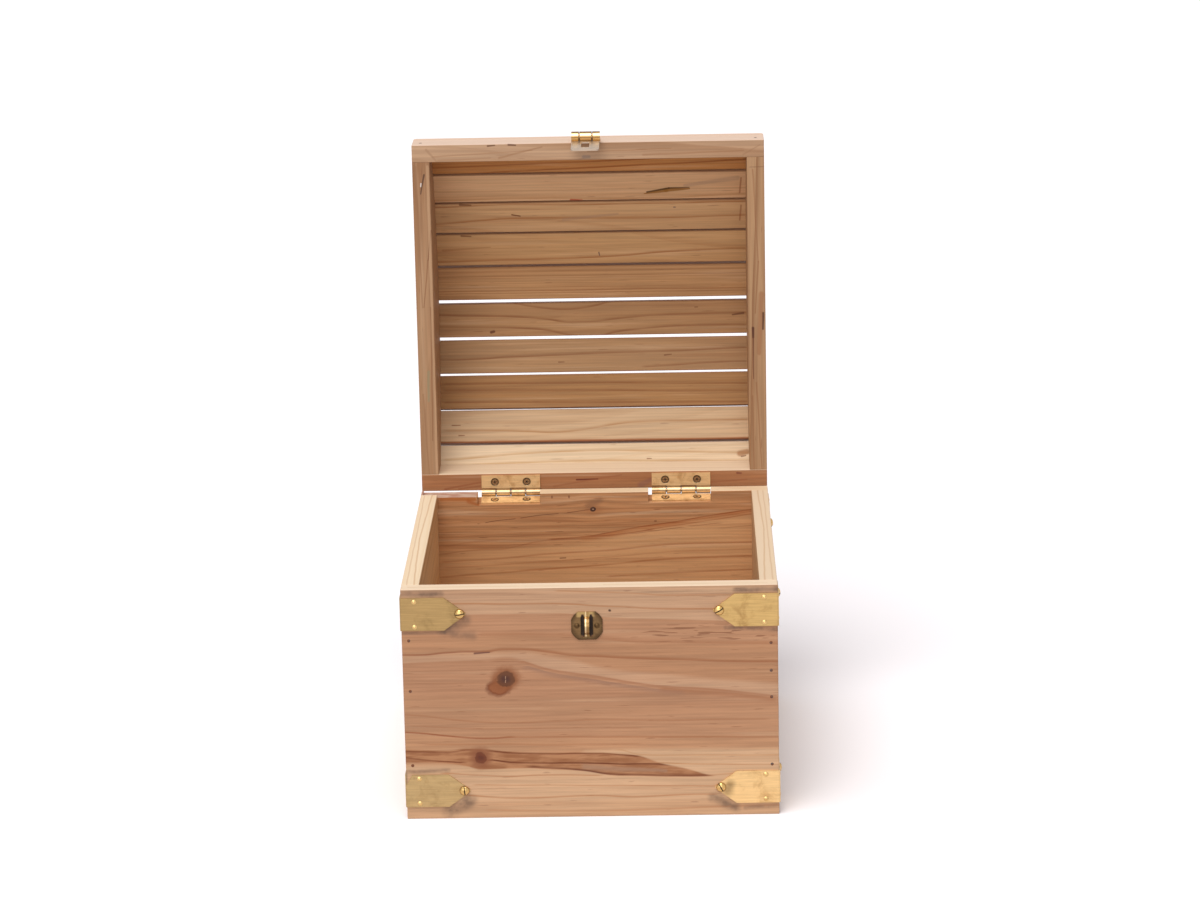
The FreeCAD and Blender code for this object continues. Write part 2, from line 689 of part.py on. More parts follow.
def swung_open(shape):
    """A piece of the lid, turned about the hinge pins to the pose in which the lid stands open."""
    opened = shape.copy()
    opened.rotate(FreeCAD.Vector(0, hinge_y, hinge_z), along_x, -lid_open_angle)
    return opened


def build():
    """All pieces by name."""
    fixings, holes = box_fixings()
    pieces = carcass(holes)
    pieces.update(corner_brackets(holes))
    pieces.update({name: Part.makeCompound(solids) for name, solids in fixings.items()})
    pieces["hinge_left_box_leaf"] = box_hinge_leaf(hinge_left_x)
    pieces["hinge_right_box_leaf"] = box_hinge_leaf(hinge_right_x)
    pieces["hinge_left_pin"] = hinge_pin(hinge_left_x)
    pieces["hinge_right_pin"] = hinge_pin(hinge_right_x)
    pieces["catch_plate"] = catch_plate()
    lid = lid_pieces()
    lid["hasp_flap"] = hasp_flap()
    pieces.update({name: swung_open(shape) for name, shape in lid.items()})
    return pieces


os.makedirs("parts", exist_ok=True)
for node, piece in build().items():
    if not piece.isValid() or not piece.Solids:
        raise ValueError(f"{node} isn't a sound solid")
    piece.exportStep(f"parts/{node}.step")
    print(f"{node}: {len(piece.Solids)} solids, {piece.Volume:.1f} mm3")
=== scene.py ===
import math

import bmesh
import bpy
from bpy.props import FloatProperty, FloatVectorProperty, PointerProperty
from mathutils import Matrix, Vector


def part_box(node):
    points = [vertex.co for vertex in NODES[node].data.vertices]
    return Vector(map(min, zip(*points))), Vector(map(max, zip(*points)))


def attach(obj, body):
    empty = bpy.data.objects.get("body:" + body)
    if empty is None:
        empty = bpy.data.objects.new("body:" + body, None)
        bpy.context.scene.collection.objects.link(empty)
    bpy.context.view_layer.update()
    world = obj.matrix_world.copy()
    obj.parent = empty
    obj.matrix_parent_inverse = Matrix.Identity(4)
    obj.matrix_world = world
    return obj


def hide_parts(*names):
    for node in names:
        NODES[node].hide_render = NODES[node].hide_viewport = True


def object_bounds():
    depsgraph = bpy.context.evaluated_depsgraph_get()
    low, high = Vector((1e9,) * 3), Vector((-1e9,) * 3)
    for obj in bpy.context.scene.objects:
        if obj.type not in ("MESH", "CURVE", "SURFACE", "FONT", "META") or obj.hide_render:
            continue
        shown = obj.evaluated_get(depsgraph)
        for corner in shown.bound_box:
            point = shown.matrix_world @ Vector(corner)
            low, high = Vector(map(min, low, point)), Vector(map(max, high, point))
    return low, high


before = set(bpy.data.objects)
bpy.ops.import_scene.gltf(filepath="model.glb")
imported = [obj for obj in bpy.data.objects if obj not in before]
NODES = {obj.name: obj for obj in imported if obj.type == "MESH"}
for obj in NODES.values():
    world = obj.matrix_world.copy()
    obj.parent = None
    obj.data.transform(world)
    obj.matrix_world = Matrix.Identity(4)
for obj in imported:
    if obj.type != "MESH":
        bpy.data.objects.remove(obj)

bl_info = {
    "name": "Wooden Storage Box",
    "version": (1, 0, 0),
    "blender": (4, 5, 0),
    "location": "3D View > Sidebar > Storage Box",
    "description": "Dresses a pine storage box with a slatted lid and brass fittings",
    "category": "Object",
}

CAD_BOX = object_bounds()


def shade(red, green, blue):
    """A display colour from 0 to 255 as the linear colour that the sockets take."""
    def linear(level):
        level /= 255
        return level / 12.92 if level <= 0.04045 else ((level + 0.055) / 1.055) ** 2.4
    return (linear(red), linear(green), linear(blue), 1.0)


def middle_of(node):
    """The middle of a node's box."""
    low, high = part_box(node)
    return (low + high) / 2


def nodes_called(start):
    """The nodes whose names begin so, in order."""
    return sorted(name for name in NODES if name.startswith(start))


# Node trees

def feed(tree, socket, value):
    """Joins an output to this input, or sets the input's plain value."""
    if isinstance(value, bpy.types.NodeSocket):
        tree.links.new(value, socket)
    else:
        socket.default_value = value


def add(tree, kind, inputs=None, **settings):
    """A new node with its settings and inputs, the inputs by name or number."""
    node = tree.nodes.new(kind)
    for name, value in settings.items():
        setattr(node, name, value)
    for key, value in (inputs or {}).items():
        feed(tree, node.inputs[key], value)
    return node


def calc(tree, operation, *values, clamp=False):
    """One step of arithmetic on numbers or outputs."""
    return add(tree, "ShaderNodeMath", dict(enumerate(values)),
               operation=operation, use_clamp=clamp).outputs[0]


def times(tree, first, *others):
    """Numbers or outputs multiplied together."""
    for other in others:
        first = calc(tree, "MULTIPLY", first, other)
    return first


def plus(tree, first, second, clamp=False):
    """Two numbers or outputs added."""
    return calc(tree, "ADD", first, second, clamp=clamp)


def minus(tree, first, second):
    """The first number or output less the second."""
    return calc(tree, "SUBTRACT", first, second)


def vector_calc(tree, operation, *values):
    """One step of arithmetic on vectors."""
    node = add(tree, "ShaderNodeVectorMath", dict(enumerate(values)), operation=operation)
    return node.outputs["Value" if operation in {"DOT_PRODUCT", "LENGTH", "DISTANCE"} else "Vector"]


def step(tree, value, low, high, start=0.0, end=1.0):
    """A smooth change from start to end while value passes from low to high."""
    return add(tree, "ShaderNodeMapRange", {0: value, 1: low, 2: high, 3: start, 4: end},
               interpolation_type="SMOOTHSTEP").outputs[0]


def falling(tree, value, low, high, start=1.0):
    """A smooth fall to nothing while value passes from low to high."""
    return step(tree, value, low, high, start, 0.0)


def between(tree, value, low, full, still, high):
    """A smooth rise from low to full, and a smooth fall from still to high."""
    return times(tree, step(tree, value, low, full), falling(tree, value, still, high))


def mix(tree, share, first, second, blend_type="MIX"):
    """Two colours mixed by a share."""
    return add(tree, "ShaderNodeMix", {0: share, 6: first, 7: second},
               data_type="RGBA", blend_type=blend_type).outputs[2]


def paint(tree, colour, mask, tone, strength=None):
    """Lays a display tone over a colour where a mask says."""
    share = mask if strength is None else times(tree, mask, strength)
    return mix(tree, share, colour, shade(*tone))


def toned(tree, colour, level):
    """A colour made lighter or darker by a number."""
    return mix(tree, 1.0, colour, tone_of(tree, level), "MULTIPLY")


def noise(tree, place, stretch, detail=2.0, roughness=0.5, distortion=0.0):
    """Noise from 0 to 1 with its own number of waves per metre along each axis."""
    scaled = vector_calc(tree, "MULTIPLY", place, stretch)
    return add(tree, "ShaderNodeTexNoise",
               {"Vector": scaled, "Scale": 1.0, "Detail": detail, "Roughness": roughness,
                "Distortion": distortion}).outputs[0]


def swing(tree, value, size):
    """A value from 0 to 1 as a swing of that size to either side of nothing."""
    return times(tree, minus(tree, value, 0.5), times(tree, size, 2.0))


def frame_place(tree):
    """The place in the frame that all the boards and fittings share."""
    return add(tree, "ShaderNodeTexCoord").outputs["Object"]


def parts_of(tree, place):
    """The three numbers of a vector."""
    return add(tree, "ShaderNodeSeparateXYZ", {0: place}).outputs


def joined(tree, x=0.0, y=0.0, z=0.0):
    """A vector from three numbers."""
    return add(tree, "ShaderNodeCombineXYZ", {0: x, 1: y, 2: z}).outputs[0]


def new_material(name):
    """An empty material and its node tree."""
    material = bpy.data.materials.new(name)
    material.use_nodes = True
    material.node_tree.nodes.clear()
    return material, material.node_tree


def surface_from(tree, inputs):
    """The surface with these inputs, as the material's output."""
    surface = add(tree, "ShaderNodeBsdfPrincipled", inputs)
    add(tree, "ShaderNodeOutputMaterial", {0: surface.outputs[0]})


def tone_of(tree, value):
    """A number as an even colour."""
    return add(tree, "ShaderNodeCombineColor", {0: value, 1: value, 2: value}).outputs[0]


SOCKETS = {float: "NodeSocketFloat", tuple: "NodeSocketVector"}


def new_group(name, inputs, outputs):
    """An empty shader node group. Returns its tree, its inputs by name and a way to set an output."""
    tree = bpy.data.node_groups.new(name, "ShaderNodeTree")
    for label, default in inputs.items():
        socket = tree.interface.new_socket(label, in_out="INPUT", socket_type=SOCKETS[type(default)])
        socket.default_value = default
    for label, kind in outputs.items():
        tree.interface.new_socket(label, in_out="OUTPUT", socket_type=SOCKETS[kind])
    entry = tree.nodes.new("NodeGroupInput")
    leave = tree.nodes.new("NodeGroupOutput")
    return tree, entry.outputs, lambda label, value: feed(tree, leave.inputs[label], value)


def place_group(tree, build, **inputs):
    """A node of a shared group, which is built the first time it is wanted."""
    group = bpy.data.node_groups.get(build.group_name) or build()
    node = add(tree, "ShaderNodeGroup", node_tree=group)
    for label, value in inputs.items():
        feed(tree, node.inputs[label.replace("_", " ")], value)
    return node.outputs


def group_called(name):
    """Names the group that a function builds."""
    def named(build):
        build.group_name = name
        return build
    return named


# Wood groups

@group_called("Board place")
def board_place():
    """Turns the frame's place into a board's own: along the grain, across the face and through it."""
    tree, given, put = new_group(
        board_place.group_name,
        {"Middle": (0.0, 0.0, 0.0), "Along": (1.0, 0.0, 0.0), "Across": (0.0, 0.0, 1.0)},
        {"Place": tuple})
    offset = vector_calc(tree, "SUBTRACT", frame_place(tree), given["Middle"])
    through = vector_calc(tree, "CROSS_PRODUCT", given["Along"], given["Across"])
    ways = (given["Along"], given["Across"], through)
    put("Place", joined(tree, *[vector_calc(tree, "DOT_PRODUCT", offset, way) for way in ways]))
    return tree


@group_called("Softwood grain")
def softwood_grain():
    """Year rings round a pith that runs along the board, with fibre, tone and resin flecks."""
    tree, given, put = new_group(
        softwood_grain.group_name,
        {"Place": (0.0, 0.0, 0.0), "Seed": 0.0, "Pith Across": 0.0, "Pith Below": 0.08,
         "Slope": 0.0, "Dip": 0.0, "Ring": 0.004, "Wander": 0.003},
        {"Latewood": float, "Fibre": float, "Streaks": float, "Tone": float, "Fleck": float})
    seed, wander = given["Seed"], given["Wander"]
    shift = joined(tree, times(tree, seed, 1.37), times(tree, seed, 0.71), seed)
    place = vector_calc(tree, "ADD", given["Place"], shift)
    along, across, through = parts_of(tree, given["Place"])

    slow = swing(tree, noise(tree, place, (3.5, 14.0, 14.0), 1.0), wander)
    quick = swing(tree, noise(tree, place, (16.0, 70.0, 70.0), 1.0), times(tree, wander, 0.2))
    aside = minus(tree, minus(tree, across, given["Pith Across"]), times(tree, along, given["Slope"]))
    sideways = plus(tree, plus(tree, slow, quick), aside)
    below = plus(tree, plus(tree, through, given["Pith Below"]), times(tree, along, given["Dip"]))
    distance = vector_calc(tree, "LENGTH", joined(tree, sideways, below))

    even = calc(tree, "DIVIDE", distance, given["Ring"])
    drift = add(tree, "ShaderNodeTexNoise",
                {"W": plus(tree, times(tree, even, 0.4), seed), "Scale": 1.0, "Detail": 1.0},
                noise_dimensions="1D").outputs[0]
    uneven = plus(tree, even, swing(tree, drift, 1.1))
    chance = add(tree, "ShaderNodeTexWhiteNoise", {"W": plus(tree, calc(tree, "FLOOR", uneven), seed)},
                 noise_dimensions="1D").outputs[0]
    share = calc(tree, "FRACT", uneven)
    rise = calc(tree, "POWER", step(tree, share, 0.2, 0.93), 1.8)
    put("Latewood", times(tree, rise, falling(tree, share, 0.94, 1.0),
                          step(tree, chance, 0.0, 1.0, 0.25, 1.0)))

    put("Fibre", noise(tree, place, (14.0, 620.0, 620.0), 3.0, 0.6))
    put("Streaks", noise(tree, place, (6.0, 190.0, 190.0), 3.0, 0.65))
    put("Tone", noise(tree, place, (2.6, 30.0, 30.0), 2.0))
    put("Fleck", step(tree, noise(tree, place, (70.0, 800.0, 800.0), 0.0), 0.76, 0.84))
    return tree


@group_called("Knot")
def knot():
    """A branch through the board: its core, dark edge and stained halo, and the grain led round it."""
    tree, given, put = new_group(
        knot.group_name,
        {"Place": (0.0, 0.0, 0.0), "Along": 0.0, "Across": 0.0, "Radius": 0.005, "Stretch": 1.2,
         "Reach": 3.0, "Push": 0.8},
        {"Place": tuple, "Core": float, "Edge": float, "Halo": float, "Rings": float})
    along, across, through = parts_of(tree, given["Place"])
    rough = swing(tree, noise(tree, given["Place"], (260.0, 260.0, 60.0), 2.0), 0.28)
    off_across = minus(tree, across, given["Across"])
    wide = calc(tree, "DIVIDE", minus(tree, along, given["Along"]),
                times(tree, given["Radius"], given["Stretch"]))
    high = calc(tree, "DIVIDE", off_across, given["Radius"])
    away = plus(tree, vector_calc(tree, "LENGTH", joined(tree, wide, high)), rough)
    put("Core", falling(tree, away, 0.8, 1.05))
    put("Edge", between(tree, away, 0.55, 0.95, 1.0, 1.35))
    put("Halo", falling(tree, away, 0.9, given["Reach"]))
    put("Rings", calc(tree, "PINGPONG", times(tree, away, 3.2), 1.0))

    flat = calc(tree, "DIVIDE", wide, times(tree, given["Reach"], 1.5))
    tall = calc(tree, "DIVIDE", high, given["Reach"])
    square = plus(tree, times(tree, flat, flat), times(tree, tall, tall))
    spread = calc(tree, "EXPONENT", times(tree, square, -1.0))
    pushed = times(tree, off_across, minus(tree, 1.0, times(tree, spread, given["Push"])))
    put("Place", joined(tree, along, plus(tree, given["Across"], pushed), through))
    return tree


@group_called("Streak")
def streak():
    """A line on a board's face from one point to another, such as a stain, a crack or a resin line."""
    tree, given, put = new_group(
        streak.group_name,
        {"Place": (0.0, 0.0, 0.0), "Start": (0.0, 0.0, 0.0), "End": (0.1, 0.0, 0.0),
         "Width": 0.001, "End Width": 0.0005, "Softness": 0.6, "Wobble": 0.001},
        {"Mask": float})
    along, across, _ = parts_of(tree, given["Place"])
    moved = vector_calc(tree, "ADD", given["Place"], given["End"])
    bent = plus(tree, across, swing(tree, noise(tree, moved, (40.0, 8.0, 8.0), 2.0), given["Wobble"]))
    point = vector_calc(tree, "SUBTRACT", joined(tree, along, bent), given["Start"])
    line = vector_calc(tree, "SUBTRACT", given["End"], given["Start"])
    share = calc(tree, "DIVIDE", vector_calc(tree, "DOT_PRODUCT", point, line),
                 vector_calc(tree, "DOT_PRODUCT", line, line), clamp=True)
    nearest = add(tree, "ShaderNodeVectorMath", {0: line, 3: share}, operation="SCALE").outputs[0]
    away = vector_calc(tree, "DISTANCE", point, nearest)
    width = add(tree, "ShaderNodeMix", {0: share, 2: given["Width"], 3: given["End Width"]}).outputs[0]
    core = times(tree, width, minus(tree, 1.0, given["Softness"]))
    put("Mask", falling(tree, away, core, width))
    return tree


@group_called("Grain line")
def grain_line():
    """A dark ring that follows a level along the board, soft above it and crisp below, with faded ends."""
    tree, given, put = new_group(
        grain_line.group_name,
        {"Along": 0.0, "Across": 0.0, "Level": 0.0, "Start": -0.2, "End": 0.2, "Fade": 0.008,
         "Above": 0.001, "Below": 0.001},
        {"Mask": float})
    off = minus(tree, given["Across"], given["Level"])
    above = calc(tree, "DIVIDE", calc(tree, "MAXIMUM", off, 0.0), given["Above"])
    below = calc(tree, "DIVIDE", calc(tree, "MINIMUM", off, 0.0), given["Below"])
    body = falling(tree, minus(tree, above, below), 0.0, 1.0)
    start, end, fade = given["Start"], given["End"], given["Fade"]
    ends = between(tree, given["Along"], start, plus(tree, start, fade), minus(tree, end, fade), end)
    put("Mask", times(tree, body, ends))
    return tree


@group_called("Brass patina")
def brass_patina():
    """Dull clouds, dark specks and fine rubbing marks on sheet or turned brass."""
    tree, given, put = new_group(
        brass_patina.group_name,
        {"Seed": 0.0, "Tarnish": 0.4, "Specks": 0.3},
        {"Cloud": float, "Speck": float, "Rub": float, "Height": float})
    shift = joined(tree, given["Seed"], given["Seed"], given["Seed"])
    place = vector_calc(tree, "ADD", frame_place(tree), shift)
    cloud = noise(tree, place, (90.0, 90.0, 90.0), 4.0, 0.6, 0.4)
    low = minus(tree, 0.78, times(tree, given["Tarnish"], 0.55))
    put("Cloud", step(tree, cloud, low, plus(tree, low, 0.3)))
    grain = noise(tree, place, (900.0, 900.0, 900.0), 2.0, 0.6)
    top = minus(tree, 0.9, times(tree, given["Specks"], 0.3))
    put("Speck", step(tree, grain, minus(tree, top, 0.06), top))
    rub = noise(tree, place, (60.0, 60.0, 2400.0), 2.0)
    put("Rub", rub)
    put("Height", plus(tree, times(tree, cloud, 0.7), times(tree, rub, 0.3)))
    return tree


# Wood finish

# Each board's tones, where its grain and its face point, and its rings with their pith, in metres; its edge
# tone is partly a painted sheen
BOARDS = {
    "front_panel": dict(light=(195, 156, 123), dark=(163, 112, 78), edge=(233, 209, 180), seed=1.3,
        pith_across=0.16, pith_below=0.03, ring=0.0052, slope=0.004, wander=0.003, late=0.2),
    "back_panel": dict(light=(189, 138, 94), dark=(162, 103, 62), edge=(230, 202, 166), seed=2.6,
        pith_across=-0.12, pith_below=0.03, ring=0.0065, slope=0.03, wander=0.004, late=0.15),
    "left_side_panel": dict(light=(222, 184, 136), dark=(186, 136, 90), edge=(234, 211, 180),
        along=(0, 1, 0), seed=3.1, pith_across=0.05, pith_below=0.05, ring=0.0055, late=0.6),
    "right_side_panel": dict(light=(204, 167, 125), dark=(172, 122, 82), edge=(223, 198, 168),
        along=(0, 1, 0), seed=4.7, pith_across=-0.04, pith_below=0.06, ring=0.006, late=0.6),
    "bottom_panel": dict(light=(205, 164, 120), dark=(172, 120, 78), across=(0, 1, 0), seed=5.2,
        pith_across=0.02, pith_below=0.09, ring=0.006, late=0.7),
    "lid_front_rail": dict(light=(187, 150, 118), dark=(158, 116, 82), edge=(219, 191, 170),
        across=(0, 1, 0), seed=6.4, pith_across=0.09, pith_below=0.02, ring=0.003, slope=0.02, late=0.6),
    "lid_back_rail": dict(light=(170, 116, 76), dark=(132, 76, 44), edge=(229, 203, 172), across=(0, 1, 0),
        seed=7.9, pith_across=-0.08, pith_below=0.05, ring=0.004, slope=-0.02, late=0.7),
    "lid_left_end": dict(light=(176, 137, 102), dark=(138, 92, 58), along=(0, 0, 1), across=(0, 1, 0),
        seed=8.3, pith_across=0.1, pith_below=0.03, ring=0.004, slope=0.03, late=0.75),
    "lid_right_end": dict(light=(178, 139, 102), dark=(138, 92, 58), along=(0, 0, 1), across=(0, 1, 0),
        seed=9.2, pith_across=-0.08, pith_below=0.03, ring=0.0042, slope=-0.02, late=0.75),
    "lid_slat_01": dict(light=(200, 141, 84), dark=(150, 88, 44), edge=(219, 191, 170), seed=10.1,
        pith_across=0.05, pith_below=0.05, ring=0.0045, late=0.7),
    "lid_slat_02": dict(light=(219, 177, 135), dark=(188, 138, 94), seed=11.6, pith_across=0.2,
        pith_below=0.05, ring=0.006, late=0.3),
    "lid_slat_03": dict(light=(206, 164, 119), dark=(166, 112, 70), seed=12.4, pith_across=-0.02,
        pith_below=0.03, ring=0.005, dip=0.06, late=0.25),
    "lid_slat_04": dict(light=(202, 158, 110), dark=(162, 108, 66), seed=13.9, pith_across=0.02,
        pith_below=0.035, ring=0.006, dip=-0.08, late=0.25),
    "lid_slat_05": dict(light=(192, 146, 100), dark=(148, 96, 58), seed=14.2, pith_across=0.3,
        pith_below=0.02, ring=0.0024, wander=0.0012, late=0.8),
    "lid_slat_06": dict(light=(180, 137, 94), dark=(140, 92, 56), seed=15.5, pith_across=0.01,
        pith_below=0.02, ring=0.0045, dip=0.05, wander=0.006, late=0.2),
    "lid_slat_07": dict(light=(174, 134, 94), dark=(138, 92, 58), seed=16.8, pith_across=-0.03,
        pith_below=0.05, ring=0.004, slope=0.02, late=0.2),
    "lid_slat_08": dict(light=(166, 122, 77), dark=(136, 88, 48), seed=17.7, pith_across=0.25,
        pith_below=0.02, ring=0.0026, wander=0.0015, late=0.4),
    "lid_slat_09": dict(light=(197, 164, 128), dark=(170, 126, 84), seed=18.3, pith_across=0.02,
        pith_below=0.04, ring=0.0045, dip=0.06, late=0.2),
    "lid_slat_10": dict(light=(218, 192, 159), dark=(188, 148, 104), seed=19.4, pith_across=-0.02,
        pith_below=0.05, ring=0.0045, dip=-0.05, late=0.2),
}

# Rings that run along the slats: millimetres along the slat, and the share of its width from its upper edge
SLAT_LINES = {
    "lid_slat_01": (
        ((-115, 0.82), (0, 0.7), (115, 0.55)),
        ((-115, 1.05), (0, 0.88), (115, 0.72)),
    ),
    "lid_slat_02": (
        ((-115, 0.93), (-40, 0.9), (40, 0.95), (112, 0.86)),
    ),
    "lid_slat_03": (
        ((-115, 0.7), (-85, 0.6), (-49, 0.53), (2, 0.57), (40, 0.58), (112, 0.55)),
        ((-115, 0.12), (-60, 0.06), (0, 0.1), (112, 0.08)),
    ),
    "lid_slat_04": (
        ((-115, 0.88), (17, 0.77), (58, 0.65), (112, 0.59)),
    ),
    "lid_slat_06": (
        ((-115, 0.33), (-85, 0.37), (-58, 0.41), (-35, 0.5), (-17, 0.6), (0, 0.59), (22, 0.5), (49, 0.42),
         (76, 0.4), (112, 0.4)),
        ((-115, 0.68), (-85, 0.72), (-58, 0.75), (-35, 0.83), (-20, 0.97), (0, 1.05), (17, 0.91),
         (40, 0.81), (67, 0.75), (112, 0.76)),
        ((-60, 0), (-40, 0.14), (-22, 0.21), (-4, 0.16), (13, 0)),
    ),
    "lid_slat_07": (
        ((-115, 0.59), (-85, 0.58), (-67, 0.54), (-40, 0.51), (2, 0.46), (31, 0.44), (67, 0.41),
         (112, 0.36)),
        ((40, 0.88), (76, 0.8), (112, 0.77)),
    ),
    "lid_slat_08": (
        ((-109, 0.25), (2, 0.29), (112, 0.37)),
        ((-109, 0.45), (2, 0.51), (112, 0.6)),
        ((-109, 0.81), (2, 0.87), (112, 0.92)),
    ),
    "lid_slat_09": (
        ((-109, 0.63), (-76, 0.65), (-49, 0.69), (-31, 0.73), (-13, 0.68), (2, 0.59), (13, 0.52),
         (31, 0.44), (58, 0.42), (112, 0.43)),
    ),
    "lid_slat_10": (
        ((-109, 0.38), (-85, 0.33), (-49, 0.24), (2, 0.2), (49, 0.24), (112, 0.32)),
        ((-109, 0.55), (-49, 0.48), (2, 0.46), (49, 0.48), (112, 0.54)),
    ),
}

# Marks on the slats: along and share of the width at both ends, both widths, tone and strength
SLAT_MARKS = {
    "lid_slat_02": (
        ((56, 0.66), (73, 0.62), 2.6, 0.9, (146, 98, 42), 0.9),
        ((56, 0.66), (40, 0.78), 2.6, 0.6, (146, 98, 42), 0.9),
        ((42, 0.72), (58, 0.59), 1, 1.1, (78, 52, 24), 0.9),
        ((58, 0.59), (73, 0.57), 1.1, 0.5, (78, 52, 24), 0.85),
        ((-14, 0.97), (-6, 0.98), 1.3, 0.8, (176, 76, 46), 0.85),
        ((70, 0.5), (108, 0.25), 2, 3, (150, 124, 108), 0.35),
        ((111, 0.25), (110, 0.8), 0.9, 0.9, (146, 78, 46), 0.6),
    ),
    "lid_slat_03": (
        ((-96, 0.03), (-88, 0.05), 1.2, 0.7, (112, 70, 42), 0.8),
        ((-58, 0.4), (-52, 0.45), 0.8, 0.7, (104, 58, 36), 0.85),
        ((61.5, 0.23), (62.5, 0.23), 0.7, 0.7, (104, 88, 80), 0.8),
        ((-20, 0.6), (20, 0.42), 2, 1.2, (150, 122, 104), 0.3),
        ((111, 0.2), (110, 0.7), 0.9, 0.9, (146, 78, 46), 0.55),
    ),
    "lid_slat_04": (
        ((-96, 0.04), (-89, 0.06), 1.1, 0.6, (112, 70, 42), 0.75),
        ((5.4, 0.64), (6, 0.74), 0.7, 0.6, (110, 84, 76), 0.85),
        ((-110, 0.5), (-75, 0.42), 1.5, 0.6, (150, 98, 62), 0.4),
    ),
    "lid_slat_06": (
        ((-76, 0.86), (-74, 0.84), 1.5, 1.4, (92, 52, 34), 0.85),
        ((104, 0.44), (112, 0.4), 0.8, 1.2, (104, 62, 38), 0.8),
        ((76, 0.2), (78, 0.2), 0.6, 0.6, (110, 70, 44), 0.7),
    ),
    "lid_slat_07": (
        ((-26, 0.7), (-22, 0.7), 0.7, 0.5, (120, 76, 48), 0.7),
        ((53, 0.54), (58, 0.52), 0.8, 0.5, (120, 76, 48), 0.8),
    ),
    "lid_slat_09": (
        ((-106, 0.46), (-100, 0.46), 0.7, 0.5, (128, 80, 48), 0.8),
        ((-101, 0.78), (-97, 0.78), 0.7, 0.5, (128, 80, 48), 0.75),
        # Painted brown shade along the lower edge, where the edge face between this slat and the next lies in
        # shadow
        ((-128, 1), (128, 1), 1.9, 1.9, (150, 92, 54), 0.9),
    ),
    "lid_slat_10": (
        ((108, 0.32), (113, 0.28), 3.4, 3, (158, 108, 66), 0.75),
        ((109, 0.4), (112, 0.38), 0.9, 0.7, (110, 66, 40), 0.7),
        ((39, 0.42), (42, 0.42), 0.7, 0.5, (130, 84, 52), 0.8),
        ((-109, 0.74), (112, 0.7), 0.5, 0.5, (190, 140, 90), 0.5),
        ((-109, 0.84), (112, 0.82), 0.5, 0.5, (190, 140, 90), 0.5),
    ),
}

# Painted brown shade along a slat's lower and upper edges, where the slats meet, with its softness and wobble
# last
SLAT_EDGE_SHADE = tuple(((-130, share), (130, share), 0.8, 0.8, (138, 86, 52), 0.6, 0.7, 0.3) for share in (1, 0))

